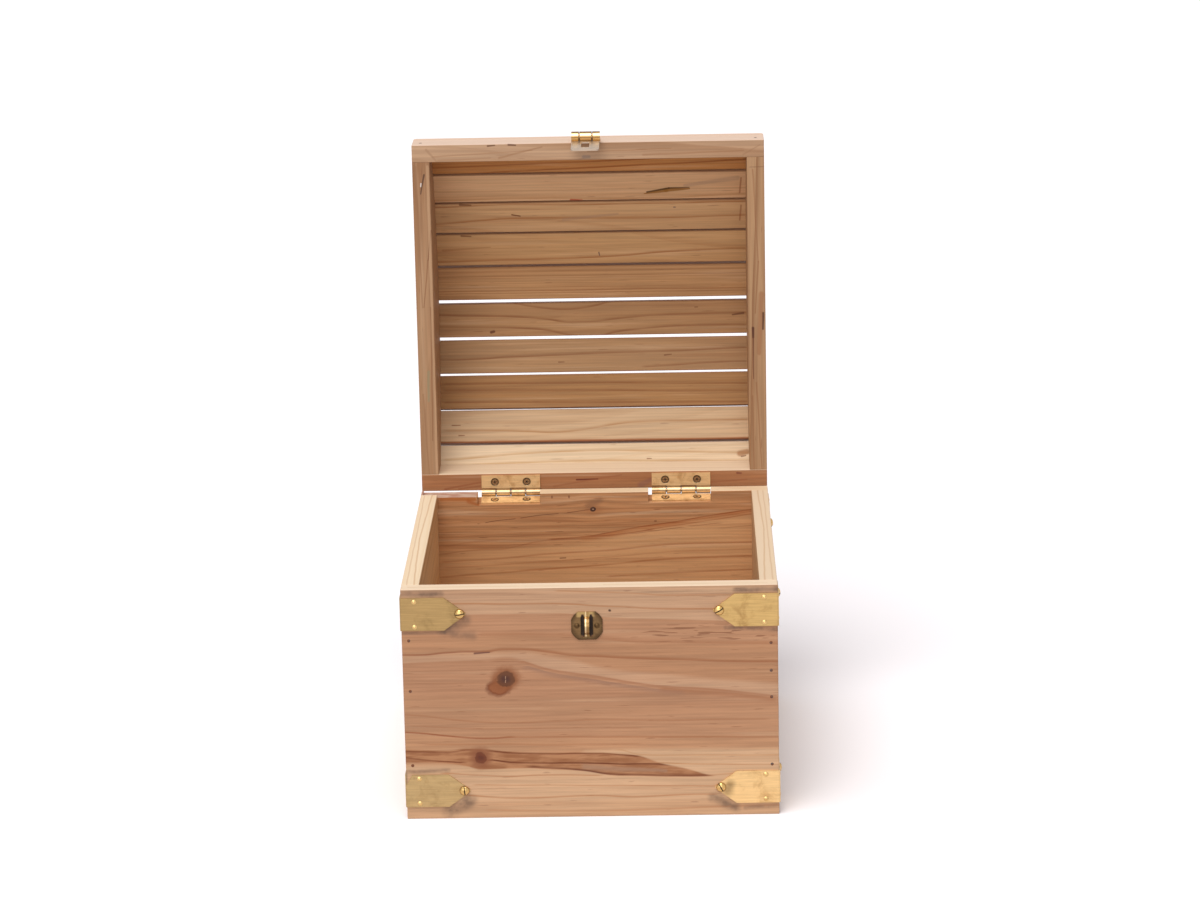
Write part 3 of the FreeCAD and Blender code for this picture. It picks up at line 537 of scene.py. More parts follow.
# Marks on narrow faces, with the ends in X and Z on the lid and in X and Y on the box, in millimetres
EDGE_MARKS = {
    "lid_front_rail": (
        ((-72, 418.2), (-67, 418.6), 1, 0.7, (106, 70, 46), 0.85),
        ((-57, 418.9), (-52, 418.5), 1.1, 0.8, (96, 60, 40), 0.85),
        ((-3, 409.4), (1, 409.4), 1.9, 1.6, (128, 112, 104), 0.55),
        ((-64, 409.5), (-33, 417), 1.2, 0.8, (154, 112, 78), 0.55),
        ((-112, 411), (-40, 414.5), 0.9, 0.6, (154, 112, 78), 0.45),
        ((-108, 408), (-70, 409.5), 1.2, 0.6, (154, 112, 78), 0.4),
        ((0, 413), (60, 414.5), 0.8, 0.6, (150, 106, 72), 0.45),
        ((40, 410), (112, 412), 1.2, 0.7, (150, 106, 72), 0.45),
        ((-116.5, 416.2), (-109, 407.3), 1.3, 1, (156, 118, 88), 0.45),
        ((112, 409), (124, 416), 1, 0.6, (150, 110, 80), 0.4),
    ),
    "lid_back_rail": (
        ((-13, 168.8), (2.5, 169.1), 1, 0.8, (92, 30, 20), 0.9),
        ((105, 172.2), (108, 172), 1.1, 0.8, (104, 44, 36), 0.7),
        ((-110, 163), (-72, 170), 1.2, 0.7, (138, 76, 44), 0.55),
        ((-100, 163), (-60, 168), 0.8, 0.6, (138, 76, 44), 0.5),
        ((-30, 164), (20, 172), 1, 0.7, (142, 82, 50), 0.45),
        ((34, 164), (48, 171), 3.4, 2, (124, 82, 74), 0.45),
        ((76, 165), (112, 167), 1.2, 0.8, (140, 80, 48), 0.5),
    ),
    "lid_left_end": (
        ((-118.6, 398), (-121.4, 384), 1, 0.6, (84, 56, 42), 0.85),
        # A painted glint on a nail in a pit
        ((-121, 391.6), (-121.2, 389.4), 0.7, 0.6, (228, 216, 204), 0.85),
        ((-114.6, 357), (-117.5, 335), 0.8, 0.6, (120, 76, 48), 0.75),
        ((-117.5, 335), (-121.5, 300), 0.7, 0.5, (130, 86, 56), 0.6),
        ((-119.6, 252), (-120.2, 230), 1.5, 1.2, (142, 138, 106), 0.55),
        ((-124.5, 404), (-122.5, 300), 0.9, 0.7, (146, 104, 72), 0.5),
        ((-116.5, 300), (-118, 200), 0.8, 0.6, (134, 90, 58), 0.55),
        ((-124, 235), (-121, 166), 0.9, 0.7, (146, 104, 72), 0.45),
        ((-116, 404), (-115.4, 166), 1.4, 1, (196, 158, 122), 0.5),
    ),
    "lid_right_end": (
        ((125.1, 292), (125, 280), 1.2, 0.9, (62, 30, 20), 0.9),
        ((117.7, 281), (117.8, 274), 1.4, 1.1, (76, 36, 24), 0.9),
        ((117.8, 274), (117.7, 243), 0.7, 0.4, (96, 50, 32), 0.8),
        ((124, 306), (122, 262), 3, 2.2, (146, 92, 58), 0.5),
        ((118.5, 398), (122, 330), 0.9, 0.7, (140, 92, 58), 0.5),
        ((122, 330), (119.5, 292), 0.9, 0.7, (136, 88, 54), 0.55),
        ((120, 240), (123.5, 170), 0.9, 0.6, (140, 92, 58), 0.5),
        ((117, 230), (117.5, 166), 0.7, 0.5, (134, 86, 54), 0.5),
        ((116.5, 399.8), (127, 399.9), 0.4, 0.4, (112, 76, 54), 0.6),
    ),
    "left_side_panel": (
        ((-118.4, -120), (-121.2, 0), 0.9, 0.7, (204, 162, 120), 0.65),
        ((-121.2, 0), (-118.6, 118), 0.7, 0.9, (204, 162, 120), 0.6),
        ((-123.4, -118), (-124.2, 115), 0.8, 0.6, (204, 162, 120), 0.5),
    ),
    "right_side_panel": (
        ((118.6, -120), (121.4, 10), 0.9, 0.7, (198, 158, 118), 0.6),
        ((121.4, 10), (119.4, 118), 0.7, 0.9, (198, 158, 118), 0.6),
        ((124.2, -118), (123.4, 115), 0.8, 0.6, (198, 158, 118), 0.5),
    ),
    "front_panel": (
        ((-122, -123), (-20, -124.5), 0.8, 0.6, (206, 166, 126), 0.55),
        ((10, -123), (120, -124.5), 0.7, 0.6, (206, 166, 126), 0.5),
    ),
}


def widest_face(node):
    """The way that a node's largest flat face looks."""
    face = max(NODES[node].data.polygons, key=lambda polygon: polygon.area)
    return face.normal.copy()


def board_axes(node):
    """A board's middle, its grain direction and the direction across its face."""
    along = Vector(BOARDS[node].get("along", (1, 0, 0)))
    across = Vector(BOARDS[node].get("across", (0, 0, 1)))
    if node.startswith("lid_slat"):
        across = widest_face(node).cross(along).normalized()
        if across.z < 0:
            across.negate()
    return middle_of(node), along, across


def reach_along(node, way):
    """How far a node reaches from its middle along a direction, down and up."""
    middle = middle_of(node)
    places = [(vert.co - middle).dot(way) for vert in NODES[node].data.vertices]
    return min(places), max(places)


def board_tree(node):
    """A new material for a board, with its own place and grain."""
    material, tree = new_material(node + "_wood")
    middle, along, across = (tuple(part) for part in board_axes(node))
    place = place_group(tree, board_place, Middle=middle, Along=along, Across=across)["Place"]
    return material, tree, place


def board_grain(tree, node, place):
    """The grain of one board at a place, which knots may have bent."""
    board = BOARDS[node]
    return place_group(tree, softwood_grain, Place=place, Seed=board["seed"],
                       Pith_Across=board["pith_across"], Pith_Below=board["pith_below"],
                       Slope=board.get("slope", 0.0), Dip=board.get("dip", 0.0),
                       Ring=board["ring"], Wander=board.get("wander", 0.003))


def board_colour(tree, node, grain):
    """Light wood with its darker rings, fibre and flecks."""
    board = BOARDS[node]
    colour = paint(tree, shade(*board["light"]), grain["Latewood"], board["dark"], board["late"])
    colour = paint(tree, colour, step(tree, grain["Tone"], 0.35, 0.7, 0.0, 0.22), board["dark"])
    return fibrous(tree, colour, grain, board["dark"])


def fibrous(tree, colour, grain, dark, amount=1.0):
    """Fine fibre, soft dark streaks and flecks over a board's colour."""
    streaks = grain["Streaks"]
    colour = paint(tree, colour, step(tree, streaks, 0.5, 0.72, 0.0, 0.35 * amount), dark)
    colour = paint(tree, colour, falling(tree, streaks, 0.28, 0.46, 0.25 * amount), (222, 186, 150))
    colour = toned(tree, colour, step(tree, grain["Fibre"], 0.3, 0.7, 0.88, 1.08))
    return paint(tree, colour, grain["Fleck"], (118, 70, 44), 0.35)


def pale_edge_and_sheen(tree, node, colour, grain):
    """The paler upper edge of a board, with faint grain: partly paler wood, partly a painted sheen of the
    light from above.
    """
    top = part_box(node)[1].z
    height = parts_of(tree, frame_place(tree))[2]
    pale = paint(tree, shade(*BOARDS[node]["edge"]), grain["Latewood"], BOARDS[node]["light"], 0.25)
    return mix(tree, step(tree, height, top - 0.0004, top - 0.0001), colour, pale)


def wood_surface(tree, colour, grain):
    """The bare planed surface: dull, with a fine ridge at each dark ring."""
    finish = bpy.context.scene.box_wood
    height = plus(tree, times(tree, grain["Fibre"], 0.6), times(tree, grain["Latewood"], 0.5))
    bump = add(tree, "ShaderNodeBump",
               {"Strength": finish.relief, "Distance": 0.0003, "Height": height}).outputs[0]
    rough = plus(tree, step(tree, grain["Fibre"], 0.2, 0.8, -0.06, 0.06), finish.roughness, clamp=True)
    surface_from(tree, {"Base Color": colour, "Roughness": rough, "Normal": bump, "Specular IOR Level": 0.25})


def cover(node, material):
    """Gives every slot of a CAD node's object this material."""
    piece = NODES[node]
    if not piece.material_slots:
        piece.data.materials.append(material)
    for slot in piece.material_slots:
        slot.link = "OBJECT"
        slot.material = material


def dress_board(node):
    """A board with its grain, its drawn rings, its paler edge with its painted sheen, and its marks."""
    material, tree, place = board_tree(node)
    grain = board_grain(tree, node, place)
    colour = board_colour(tree, node, grain)
    if node.startswith("lid_slat_"):
        colour = drawn_rings(tree, node, place, colour)
        colour = slat_marks(tree, node, place, colour)
    if "edge" in BOARDS[node]:
        colour = pale_edge_and_sheen(tree, node, colour, grain)
    colour = edge_marks(tree, node, place, colour)
    wood_surface(tree, colour, grain)
    cover(node, material)


def slat_marks(tree, node, place, colour):
    """Flecks, resin and small knots of a slat, and the painted brown shade along both its edges."""
    low, high = slat_reach(node)
    through = parts_of(tree, place)[2]
    _, grain_way, face_way = board_axes(node)
    inward = -1.0 if grain_way.cross(face_way).y > 0 else 1.0
    inner = step(tree, times(tree, through, inward), 0.001, 0.0015)

    def at(x, share):
        return (x / 1000, high - share * (high - low))

    # Painted brown shade along both edges, where the slats meet
    colour = lay_marks(tree, colour, place, at, SLAT_EDGE_SHADE)
    return lay_marks(tree, colour, place, at, SLAT_MARKS.get(node, ()), inner, (0.6, 0.4))


def edge_marks(tree, node, place, colour):
    """Marks on a board's narrow faces."""
    along, across, through = parts_of(tree, place)
    turned = joined(tree, along, through, across)
    middle, grain_way, face_way = board_axes(node)
    side_way = grain_way.cross(face_way)
    reach = reach_along(node, face_way)[1]
    narrow = step(tree, calc(tree, "ABSOLUTE", across), reach - 0.0006, reach - 0.0003)

    def at(x, other):
        point = (x, other, 0.0) if face_way.z else (x, 0.0, other)
        offset = Vector(point) / 1000 - middle
        return (offset.dot(grain_way), offset.dot(side_way))

    return lay_marks(tree, colour, turned, at, EDGE_MARKS.get(node, ()), narrow, (0.7, 0.5))


# How far a drawn level reaches to each side of a board's middle, and the heights that it spans
LEVEL_REACH = 0.13
LEVEL_SPAN = 0.2


def level_at(tree, along, points):
    """A level in metres that runs smoothly through points, given in millimetres along and across."""
    share = calc(tree, "DIVIDE", plus(tree, along, LEVEL_REACH), 2 * LEVEL_REACH)
    node = add(tree, "ShaderNodeFloatCurve", {"Value": share})
    node.mapping.extend = "HORIZONTAL"
    curve = node.mapping.curves[0]
    while len(curve.points) < len(points):
        curve.points.new(0.5, 0.5)
    for point, (x, z) in zip(curve.points, points):
        point.location = ((x / 1000 + LEVEL_REACH) / (2 * LEVEL_REACH),
                          (z / 1000 + LEVEL_SPAN / 2) / LEVEL_SPAN)
        point.handle_type = "AUTO_CLAMPED"
    node.mapping.update()
    return times(tree, minus(tree, node.outputs[0], 0.5), LEVEL_SPAN)


def draw_ring(tree, colour, place, points, above, below, tint, strength, fade=0.006):
    """Lays one ring over a colour. Its points and widths are in millimetres."""
    along, across, _ = parts_of(tree, place)
    mask = place_group(tree, grain_line, Along=along, Across=across, Level=level_at(tree, along, points),
                       Start=points[0][0] / 1000 - fade, End=points[-1][0] / 1000 + fade, Fade=fade,
                       Above=above / 1000, Below=below / 1000)["Mask"]
    return paint(tree, colour, mask, tint, strength)


def wavering(tree, place):
    """A place that wanders a little across the grain, so that drawn rings look grown."""
    along, across, through = parts_of(tree, place)
    slow = swing(tree, noise(tree, place, (24.0, 30.0, 30.0), 2.0), 0.0005)
    return joined(tree, along, plus(tree, across, slow), through)


def drawn_rings(tree, node, place, colour):
    """The rings of a slat that can be told apart."""
    low, high = slat_reach(node)
    moved = wavering(tree, place)
    patchy = step(tree, noise(tree, place, (30.0, 300.0, 300.0), 1.0), 0.25, 0.7, 0.5, 0.95)
    for points in SLAT_LINES.get(node, ()):
        levels = [(x, (high - share * (high - low)) * 1000) for x, share in points]
        colour = draw_ring(tree, colour, moved, levels, 2.2, 0.7, BOARDS[node]["dark"], patchy)
    return colour


def slat_reach(node):
    """How far a slat reaches across from its middle, down and up."""
    return reach_along(node, board_axes(node)[2])


# The front board's bands from the top down: the level that each begins at, its softness and its tone
FRONT_BANDS = (
    (((-60, 163), (-19, 160.6), (33, 158.1), (50, 156.8), (92, 156.1), (127, 155.5)), 1, (193, 152, 119)),
    (((-127, 143.5), (-79, 144.7), (-18, 144.5), (11, 141.5), (79, 138.3), (127, 136.6)), 1.2,
     (183, 135, 101)),
    (((-127, 131), (-71, 130.5), (-19, 129.8), (8, 126.7), (32, 124), (58, 123.2), (127, 121.3)), 1.5,
     (180, 132, 97)),
    (((-127, 116), (-70, 117.4), (-45, 117.5), (-28, 115), (-11, 111.5), (4, 107), (23, 103.5), (50, 101),
     (75, 98), (109, 94.8), (127, 93)), 2.2, (191, 149, 117)),
    (((-127, 110.8), (-97, 111.8), (-70, 112.8), (-57, 114.5), (-45, 111.7), (-28, 105.8), (-11, 102.7),
     (4, 100.4), (23, 96.5), (48, 92.6), (75, 90.8), (109, 86.7), (127, 84.3)), 1.6, (179, 131, 98)),
    (((-127, 90), (-40, 84), (40, 80), (127, 78)), 6, (182, 135, 101)),
    (((-127, 61), (-98, 59), (-67, 56.5), (3, 56.5), (127, 55)), 1, (187, 139, 103)),
    (((-127, 38), (-20, 38), (-4, 47), (33, 47.9), (73, 47.7), (127, 47.3)), 2.2, (205, 165, 129)),
    (((-127, 11), (-60, 12), (30, 11), (127, 12)), 2, (201, 158, 121)),
)

# The front board's dark rings: points, softness above and below, tone, strength
FRONT_RINGS = (
    (((-19, 160.6), (-2, 159.9), (33, 158.1), (50, 156.8), (92, 156.1)), 0.9, 0.9, (176, 122, 80), 0.7),
    (((-90, 152.7), (-79, 152.4), (-10, 151), (4, 149.7), (24, 148.7), (45, 147.2), (84, 146.4)), 1.3, 0.8,
     (168, 112, 70), 0.75),
    (((-86, 144.1), (-79, 144.7), (-18, 144.5), (11, 141.5), (79, 138.3), (127, 136.6)), 0.6, 1.8,
     (172, 120, 84), 0.55),
    (((-71, 130.5), (-19, 129.8), (8, 126.7), (32, 124), (58, 123.2), (127, 121.3)), 4, 1, (164, 112, 78),
     0.65),
    (((-127, 117), (-114, 116.8), (-97, 118.1), (-83, 118.9), (-70, 118.4)), 1.6, 0.9, (134, 78, 50), 0.85),
    (((-70, 118.4), (-58, 120), (-45, 119.8), (-28, 117.8), (-11, 115.1), (4, 114.3), (23, 113),
     (51, 111.5), (75, 110.3), (96, 109.2), (127, 108.7)), 2.4, 0.9, (150, 94, 60), 0.75),
    (((-127, 110.8), (-97, 111.8), (-75, 112.4)), 0.8, 2.5, (160, 112, 80), 0.6),
    (((-45, 111.5), (-28, 105.8), (-11, 102.7), (4, 100.4), (23, 96.5), (48, 92.6), (75, 90.8), (109, 86.7),
     (122, 85)), 0.7, 2.2, (158, 106, 74), 0.65),
    (((-42, 108), (-28, 103.5), (-11, 100), (4, 97.5), (23, 94), (48, 90), (60, 89)), 0.6, 4.6,
     (146, 110, 90), 0.65),
    (((50, 91), (75, 88.5), (100, 86), (122, 83)), 1, 4, (152, 96, 62), 0.6),
    (((-120, 66.5), (-60, 63.5), (0, 63.5), (30, 63)), 1.2, 0.6, (162, 108, 74), 0.45),
    (((-110, 53), (-60, 52.5), (-20, 51.5), (30, 51.5)), 1.4, 0.6, (164, 110, 74), 0.45),
    (((-127, 74.8), (-111, 73.2), (-94, 70.7), (-72, 68.3), (-47, 67.7), (-25, 68.3), (3, 69.2), (48, 68.3),
     (117, 68.1)), 1.6, 0.8, (160, 108, 74), 0.6),
    (((-127, 62.1), (-116, 61.3), (-98, 59.2), (-81, 57.5), (-67, 56.9), (-56, 57.5)), 1.2, 0.8,
     (142, 78, 46), 0.85),
    (((-56, 57.5), (3, 57), (127, 55.1)), 1.5, 0.8, (160, 104, 68), 0.65),
    (((20, 47.5), (33, 43.8), (66, 43.2), (127, 42.3)), 1, 0.6, (184, 132, 88), 0.7),
    (((45, 38), (66, 36.9), (127, 35.5)), 0.8, 0.5, (182, 126, 80), 0.8),
    (((82, 28.4), (92, 29.2), (112, 30)), 1.2, 0.7, (186, 132, 90), 0.6),
    (((-99, 32.4), (-78, 30.7), (-56, 29.5), (-39, 30.1), (3, 29.5)), 1, 0.6, (176, 118, 76), 0.75),
    (((-78, 23.7), (2, 22.2), (82, 20.7)), 0.8, 0.6, (180, 124, 82), 0.75),
    (((-83, 16.1), (-61, 14.1), (-39, 13.8), (2, 15), (30, 13.5), (56, 14.6), (82, 14.7)), 1.4, 0.7,
     (176, 120, 78), 0.8),
    (((-70, 5.3), (2, 3.9), (56, 4.9), (87, 5.9), (127, 6.4)), 1.4, 1, (182, 128, 88), 0.7),
)

# The reddish wedge that runs out of the lower knot: its upper and lower levels, and its rings
WEDGE_TOP = (
    (-127, 50), (-99, 48.6), (-85, 50), (-71, 49), (-56, 47.2), (-20, 46), (3, 46), (19, 44.8), (31, 43.4),
    (47, 37.6), (65, 33.2), (77, 29.4), (84, 28),
)
WEDGE_FOOT = (
    (-127, 40.7), (-99, 39.3), (-85, 37.2), (-77, 34.9), (-71, 34.8), (-47, 35.3), (-30, 34.2), (-4, 32.4),
    (13, 29.4), (30, 28.6), (56, 27.8), (74, 27.6), (84, 28),
)
WEDGE_RINGS = (
    (((-127, 48.4), (-99, 47.5), (-85, 49.1)), 1, 0.8, (116, 62, 36), 0.85),
    (((-68, 48), (-56, 46.4), (-38, 45.9), (-21, 45.3), (3, 45.3), (19, 44.2), (30, 43)), 1.1, 0.9,
     (104, 48, 22), 1),
    (((-127, 43.9), (-108, 41.4), (-90, 40.1)), 0.9, 0.9, (110, 54, 28), 0.9),
    (((-68, 41.5), (-55, 39.6), (3, 38.2), (22, 37.4), (35, 37.3), (52, 36.6), (58, 35.6)), 1.1, 0.9,
     (98, 44, 20), 1),
    (((-40, 36), (-10, 33.6), (13, 30.2), (31, 29.3), (56, 28.6), (76, 28.4)), 1.6, 0.8, (98, 50, 32),
     0.95),
)


def band(tree, colour, place, points, soft, tone):
    """Gives everything below a level another tone."""
    along, across, _ = parts_of(tree, place)
    off = minus(tree, across, level_at(tree, along, points))
    return paint(tree, colour, falling(tree, off, -soft / 1000, soft / 1000), tone)


def lay_marks(tree, colour, place, at, rows, mask=None, usual=(0.7, 1.0)):
    """Lays stains, cracks and specks over a colour, with the usual softness and wobble or a row's own."""
    for start, end, width, end_width, tint, strength, *own in rows:
        softness, wobble = own or usual
        line = place_group(tree, streak, Place=place, Start=(*at(*start), 0.0), End=(*at(*end), 0.0),
                           Width=width / 1000, End_Width=end_width / 1000,
                           Softness=softness, Wobble=wobble / 1000)
        share = strength if mask is None else times(tree, mask, strength)
        colour = paint(tree, colour, line["Mask"], tint, share)
    return colour


def on_upright(level):
    """How X and Z in millimetres become along and across of an upright board with its middle at a level."""
    return lambda x, z: (x / 1000, (z - level) / 1000)


def from_middle(points, level):
    """Points of an upright board, with their heights counted from its middle's, in millimetres."""
    return tuple((x, z - level) for x, z in points)


def lay_rings(tree, colour, place, rows, level, patchy):
    """Lays a table's rings over an upright board, stronger and weaker in patches."""
    for points, above, below, tint, strength in rows:
        colour = draw_ring(tree, colour, place, from_middle(points, level), above, below, tint,
                           times(tree, patchy, strength))
    return colour


def knot_at(tree, place, level, x, z, radius, stretch, reach, push=0.0):
    """A knot of an upright board, with its place and its radius in millimetres."""
    return place_group(tree, knot, Place=place, Along=x / 1000, Across=(z - level) / 1000,
                       Radius=radius / 1000, Stretch=stretch, Reach=reach, Push=push)


# The grey streak inside the wedge
WEDGE_STREAK = (((-5, 35.5), (50, 32), 4, 2, (162, 128, 104), 0.6, 1, 1),)

# A resin line on the upper rings, then the marks in the knots and a dark speck near the top
FRONT_RESIN = (((-78, 117.8), (-68, 118.2), 1.1, 0.7, (104, 66, 56), 0.85, 0.8, 1),)
FRONT_MARKS = (
    ((-58.6, 99.4), (-56.6, 99), 4.2, 4, (70, 42, 38), 0.8, 1, 1),
    ((-76.6, 43.4), (-75, 43), 3.2, 2.8, (88, 40, 28), 0.6, 1, 1),
    ((-57.7, 96.6), (-57.5, 98.4), 0.4, 0.4, (190, 150, 118), 0.7, 0.7, 0),
    ((-57.6, 99.4), (-57.5, 101), 0.4, 0.4, (190, 150, 118), 0.6, 0.7, 0),
    ((13.7, 146.5), (14, 146.4), 1.2, 1.2, (60, 36, 28), 0.9),
)

# Smudges of dirt round the brackets and along the ends: both ends, width and strength
FRONT_SMUDGES = (
    ((-127, 160), (-100, 159.6), 3.6, 0.75),
    ((-98, 134), (-84, 141), 6.5, 0.75),
    ((-92, 131), (-79, 130), 5, 0.5),
    ((-126, 132.5), (-98, 132.4), 2, 0.6),
    ((-98, 5), (-84, 12), 7.5, 0.85),
    ((-127, 34), (-98, 34.4), 2.4, 0.6),
    ((-127.5, 33), (-126.5, 16), 2.4, 0.7),
    ((92, 133), (126, 131.5), 2.8, 0.7),
    ((99, 159.6), (127, 160), 3.6, 0.75),
    ((82, 12), (97, 5), 5.5, 0.75),
    ((104, 4.6), (127, 6.4), 2.6, 0.5),
    ((-127.5, 150), (-127, 40), 0.9, 0.4),
)
SMUDGE_TONE = (104, 82, 68)


def lay_wedge(tree, colour, place, moved, level, patchy):
    """The reddish wedge, with its mottled ground, its grey streak and its own rings."""
    along, across, _ = parts_of(tree, moved)
    under = minus(tree, across, level_at(tree, along, from_middle(WEDGE_TOP, level)))
    over = minus(tree, across, level_at(tree, along, from_middle(WEDGE_FOOT, level)))
    within = times(tree, falling(tree, under, -0.0008, 0.0008), step(tree, over, -0.0006, 0.0006),
                   falling(tree, along, 0.08, 0.086))
    mottle = step(tree, noise(tree, place, (40.0, 260.0, 260.0), 3.0, 0.6), 0.35, 0.65)
    inside = mix(tree, mottle, shade(150, 98, 64), shade(180, 128, 90))
    inside = lay_marks(tree, inside, moved, on_upright(level), WEDGE_STREAK)
    inside = lay_rings(tree, inside, moved, WEDGE_RINGS, level, patchy)
    return mix(tree, within, colour, inside)


def lay_front_knots(tree, colour, place, level):
    """The red patch of grown-in bark, and the two knots under and over it."""
    patch = knot_at(tree, place, level, -62.5, 92.5, 4.8, 1.6, 1.6)
    colour = paint(tree, colour, patch["Core"], (140, 78, 42), 0.85)
    colour = paint(tree, colour, patch["Edge"], (104, 50, 26), 0.6)
    upper = knot_at(tree, place, level, -57.5, 99.2, 5.8, 1.15, 1.9)
    lower = knot_at(tree, place, level, -75.8, 43.2, 4.4, 0.95, 2.4)
    for knotted, tone, core in ((upper, (138, 82, 48), (86, 52, 34)), (lower, (136, 82, 54), (104, 48, 28))):
        colour = paint(tree, colour, knotted["Halo"], tone, 0.85)
        centre = paint(tree, shade(*core), knotted["Rings"], (72, 42, 30), 0.4)
        colour = mix(tree, times(tree, knotted["Core"], 0.75), colour, centre)
    return colour


def lay_worn_dashes(tree, colour, place, level):
    """Short dark dashes that are worn into the front right of the catch."""
    along, across, _ = parts_of(tree, place)
    heights = [(z - level) / 1000 for z in (121, 127, 133, 139)]
    worn = times(tree, step(tree, along, 0.01, 0.05), step(tree, across, *heights[:2]),
                 falling(tree, across, *heights[2:]))
    dashes = step(tree, noise(tree, place, (90.0, 900.0, 900.0), 0.0), 0.64, 0.7, 0.0, 0.6)
    return paint(tree, colour, worn, (118, 72, 48), dashes)


def dress_front_panel():
    """The front board, with its two knots and the bands and rings that run past them."""
    node = "front_panel"
    material, tree, place = board_tree(node)
    level = middle_of(node).z * 1000
    at = on_upright(level)
    grain = board_grain(tree, node, place)
    moved = wavering(tree, place)
    patchy = step(tree, noise(tree, place, (22.0, 300.0, 300.0), 2.0), 0.25, 0.65, 0.6, 1.0)
    colour = board_colour(tree, node, grain)
    for points, soft, tone in FRONT_BANDS:
        colour = band(tree, colour, moved, from_middle(points, level), soft, tone)
    cloud = noise(tree, place, (11.0, 60.0, 60.0), 3.0, 0.6)
    colour = toned(tree, colour, step(tree, cloud, 0.3, 0.75, 0.94, 1.06))
    colour = fibrous(tree, colour, grain, (166, 112, 76), 0.65)
    colour = lay_rings(tree, colour, moved, FRONT_RINGS, level, patchy)
    colour = lay_wedge(tree, colour, place, moved, level, patchy)
    colour = lay_marks(tree, colour, moved, at, FRONT_RESIN)
    colour = lay_front_knots(tree, colour, place, level)
    colour = lay_marks(tree, colour, place, at, FRONT_MARKS)

    outer = step(tree, parts_of(tree, place)[2], 0.003, 0.004)
    # A painted shadow under the catch plate on the front's outer face, dark in its slits
    catch = middle_of("catch_plate") * 1000
    slot = ((catch.x, catch.z - 3), (catch.x, catch.z + 3), 6.5, 6.5, (28, 19, 15), 0.96, 0.3, 0)
    colour = lay_marks(tree, colour, place, at, (slot,), outer)
    colour = lay_worn_dashes(tree, colour, place, level)
    uneven = step(tree, noise(tree, place, (110.0, 110.0, 110.0), 3.0, 0.6), 0.3, 0.65, 0.35, 1.0)
    smudges = [(start, end, width, width, SMUDGE_TONE, strength)
               for start, end, width, strength in FRONT_SMUDGES]
    colour = lay_marks(tree, colour, place, at, smudges, times(tree, uneven, outer), (1.0, 1.0))
    colour = pale_edge_and_sheen(tree, node, colour, grain)
    colour = edge_marks(tree, node, place, colour)
    wood_surface(tree, colour, grain)
    cover(node, material)


# The back board's rings on its inner face: points, softness above and below, tone, strength
BACK_RINGS = (
    (((-110, 111.5), (-94, 112.6), (-68, 113.8), (-40, 116.3), (12, 118.9), (38, 121.4), (65, 122.9),
     (127, 123.4)), 1.6, 0.9, (158, 96, 56), 0.6),
    (((-112, 100), (-95, 101.4), (-68, 103), (-40, 105), (12, 108.2), (38, 110.6), (65, 111.8),
     (127, 113.2)), 1.6, 0.9, (156, 94, 52), 0.65),
    (((-110, 117.8), (-86, 120.6), (-68, 121), (-40, 126.4), (-28, 127.6), (0, 128)), 1.2, 0.7,
     (150, 88, 52), 0.45),
    (((12, 99), (65, 101), (127, 103)), 1.5, 0.9, (158, 96, 56), 0.6),
    (((-8, 129.5), (5, 131), (31, 136), (58, 139.6), (85, 144.2), (120, 148.8)), 1, 5, (178, 106, 56), 0.7),
    (((-2, 130.4), (31, 136.2), (58, 139.8), (85, 144.4), (120, 149)), 0.5, 1, (128, 66, 34), 0.8),
    (((-30, 128.2), (-8, 129.6), (20, 131.4), (40, 134)), 0.6, 1.4, (140, 76, 42), 0.75),
    (((40, 134.4), (70, 138.6), (120, 145.6)), 0.5, 0.6, (146, 80, 42), 0.6),
    (((60, 139.2), (90, 143.4), (120, 147.4)), 0.4, 0.5, (140, 74, 38), 0.5),
    (((-60, 130.6), (-40, 131.4), (-22, 132)), 0.5, 0.5, (140, 80, 50), 0.55),
    (((-108, 124), (-90, 127), (-75, 128)), 1, 2, (156, 98, 62), 0.5),
    (((-108, 107), (-60, 109.5), (0, 113), (60, 117), (120, 118)), 1.2, 0.5, (168, 108, 66), 0.4),
    (((30, 131.4), (48, 133.6), (62, 135.4)), 0.5, 0.5, (112, 60, 34), 0.6),
    (((72, 136.6), (90, 138.4)), 0.5, 0.5, (112, 60, 34), 0.6),
    (((94, 134.8), (120, 136.2)), 0.6, 0.6, (124, 68, 38), 0.55),
)


# The back board's paler band, the crack that runs to its small knot, and its stains and specks
BACK_BAND = ((-127, 119), (-68, 122), (0, 127), (31, 134), (120, 146))
BACK_CRACK = ((-85, 140.5), (-71, 142.8), (-58, 144), (-40, 146.4), (-22, 147.8), (-3, 150.2))
BACK_MARKS = (
    ((-1.4, 150.3), (-0.8, 150.3), 0.7, 0.7, (176, 138, 108), 0.9, 0.7, 0),
    ((-4, 153.5), (4, 157), 5, 4, (128, 92, 68), 0.5, 1, 1),
    ((44, 140.6), (45, 140.6), 0.8, 0.8, (110, 66, 42), 0.7, 0.7, 0),
    ((-26, 113.4), (-22, 113.6), 0.7, 0.7, (110, 70, 46), 0.7, 0.7, 0),
    ((-31, 160.5), (-31, 159.5), 0.9, 0.9, (110, 64, 44), 0.7, 0.7, 0),
    ((-18.5, 160.5), (-18.5, 159.5), 0.9, 0.9, (110, 64, 44), 0.7, 0.7, 0),
    ((-112, 160), (-88, 159.6), 3.2, 2.4, (176, 98, 40), 0.8, 0.8, 1),
    ((-92, 158), (-85, 155), 3, 1.2, (168, 92, 40), 0.7, 0.9, 1),
)


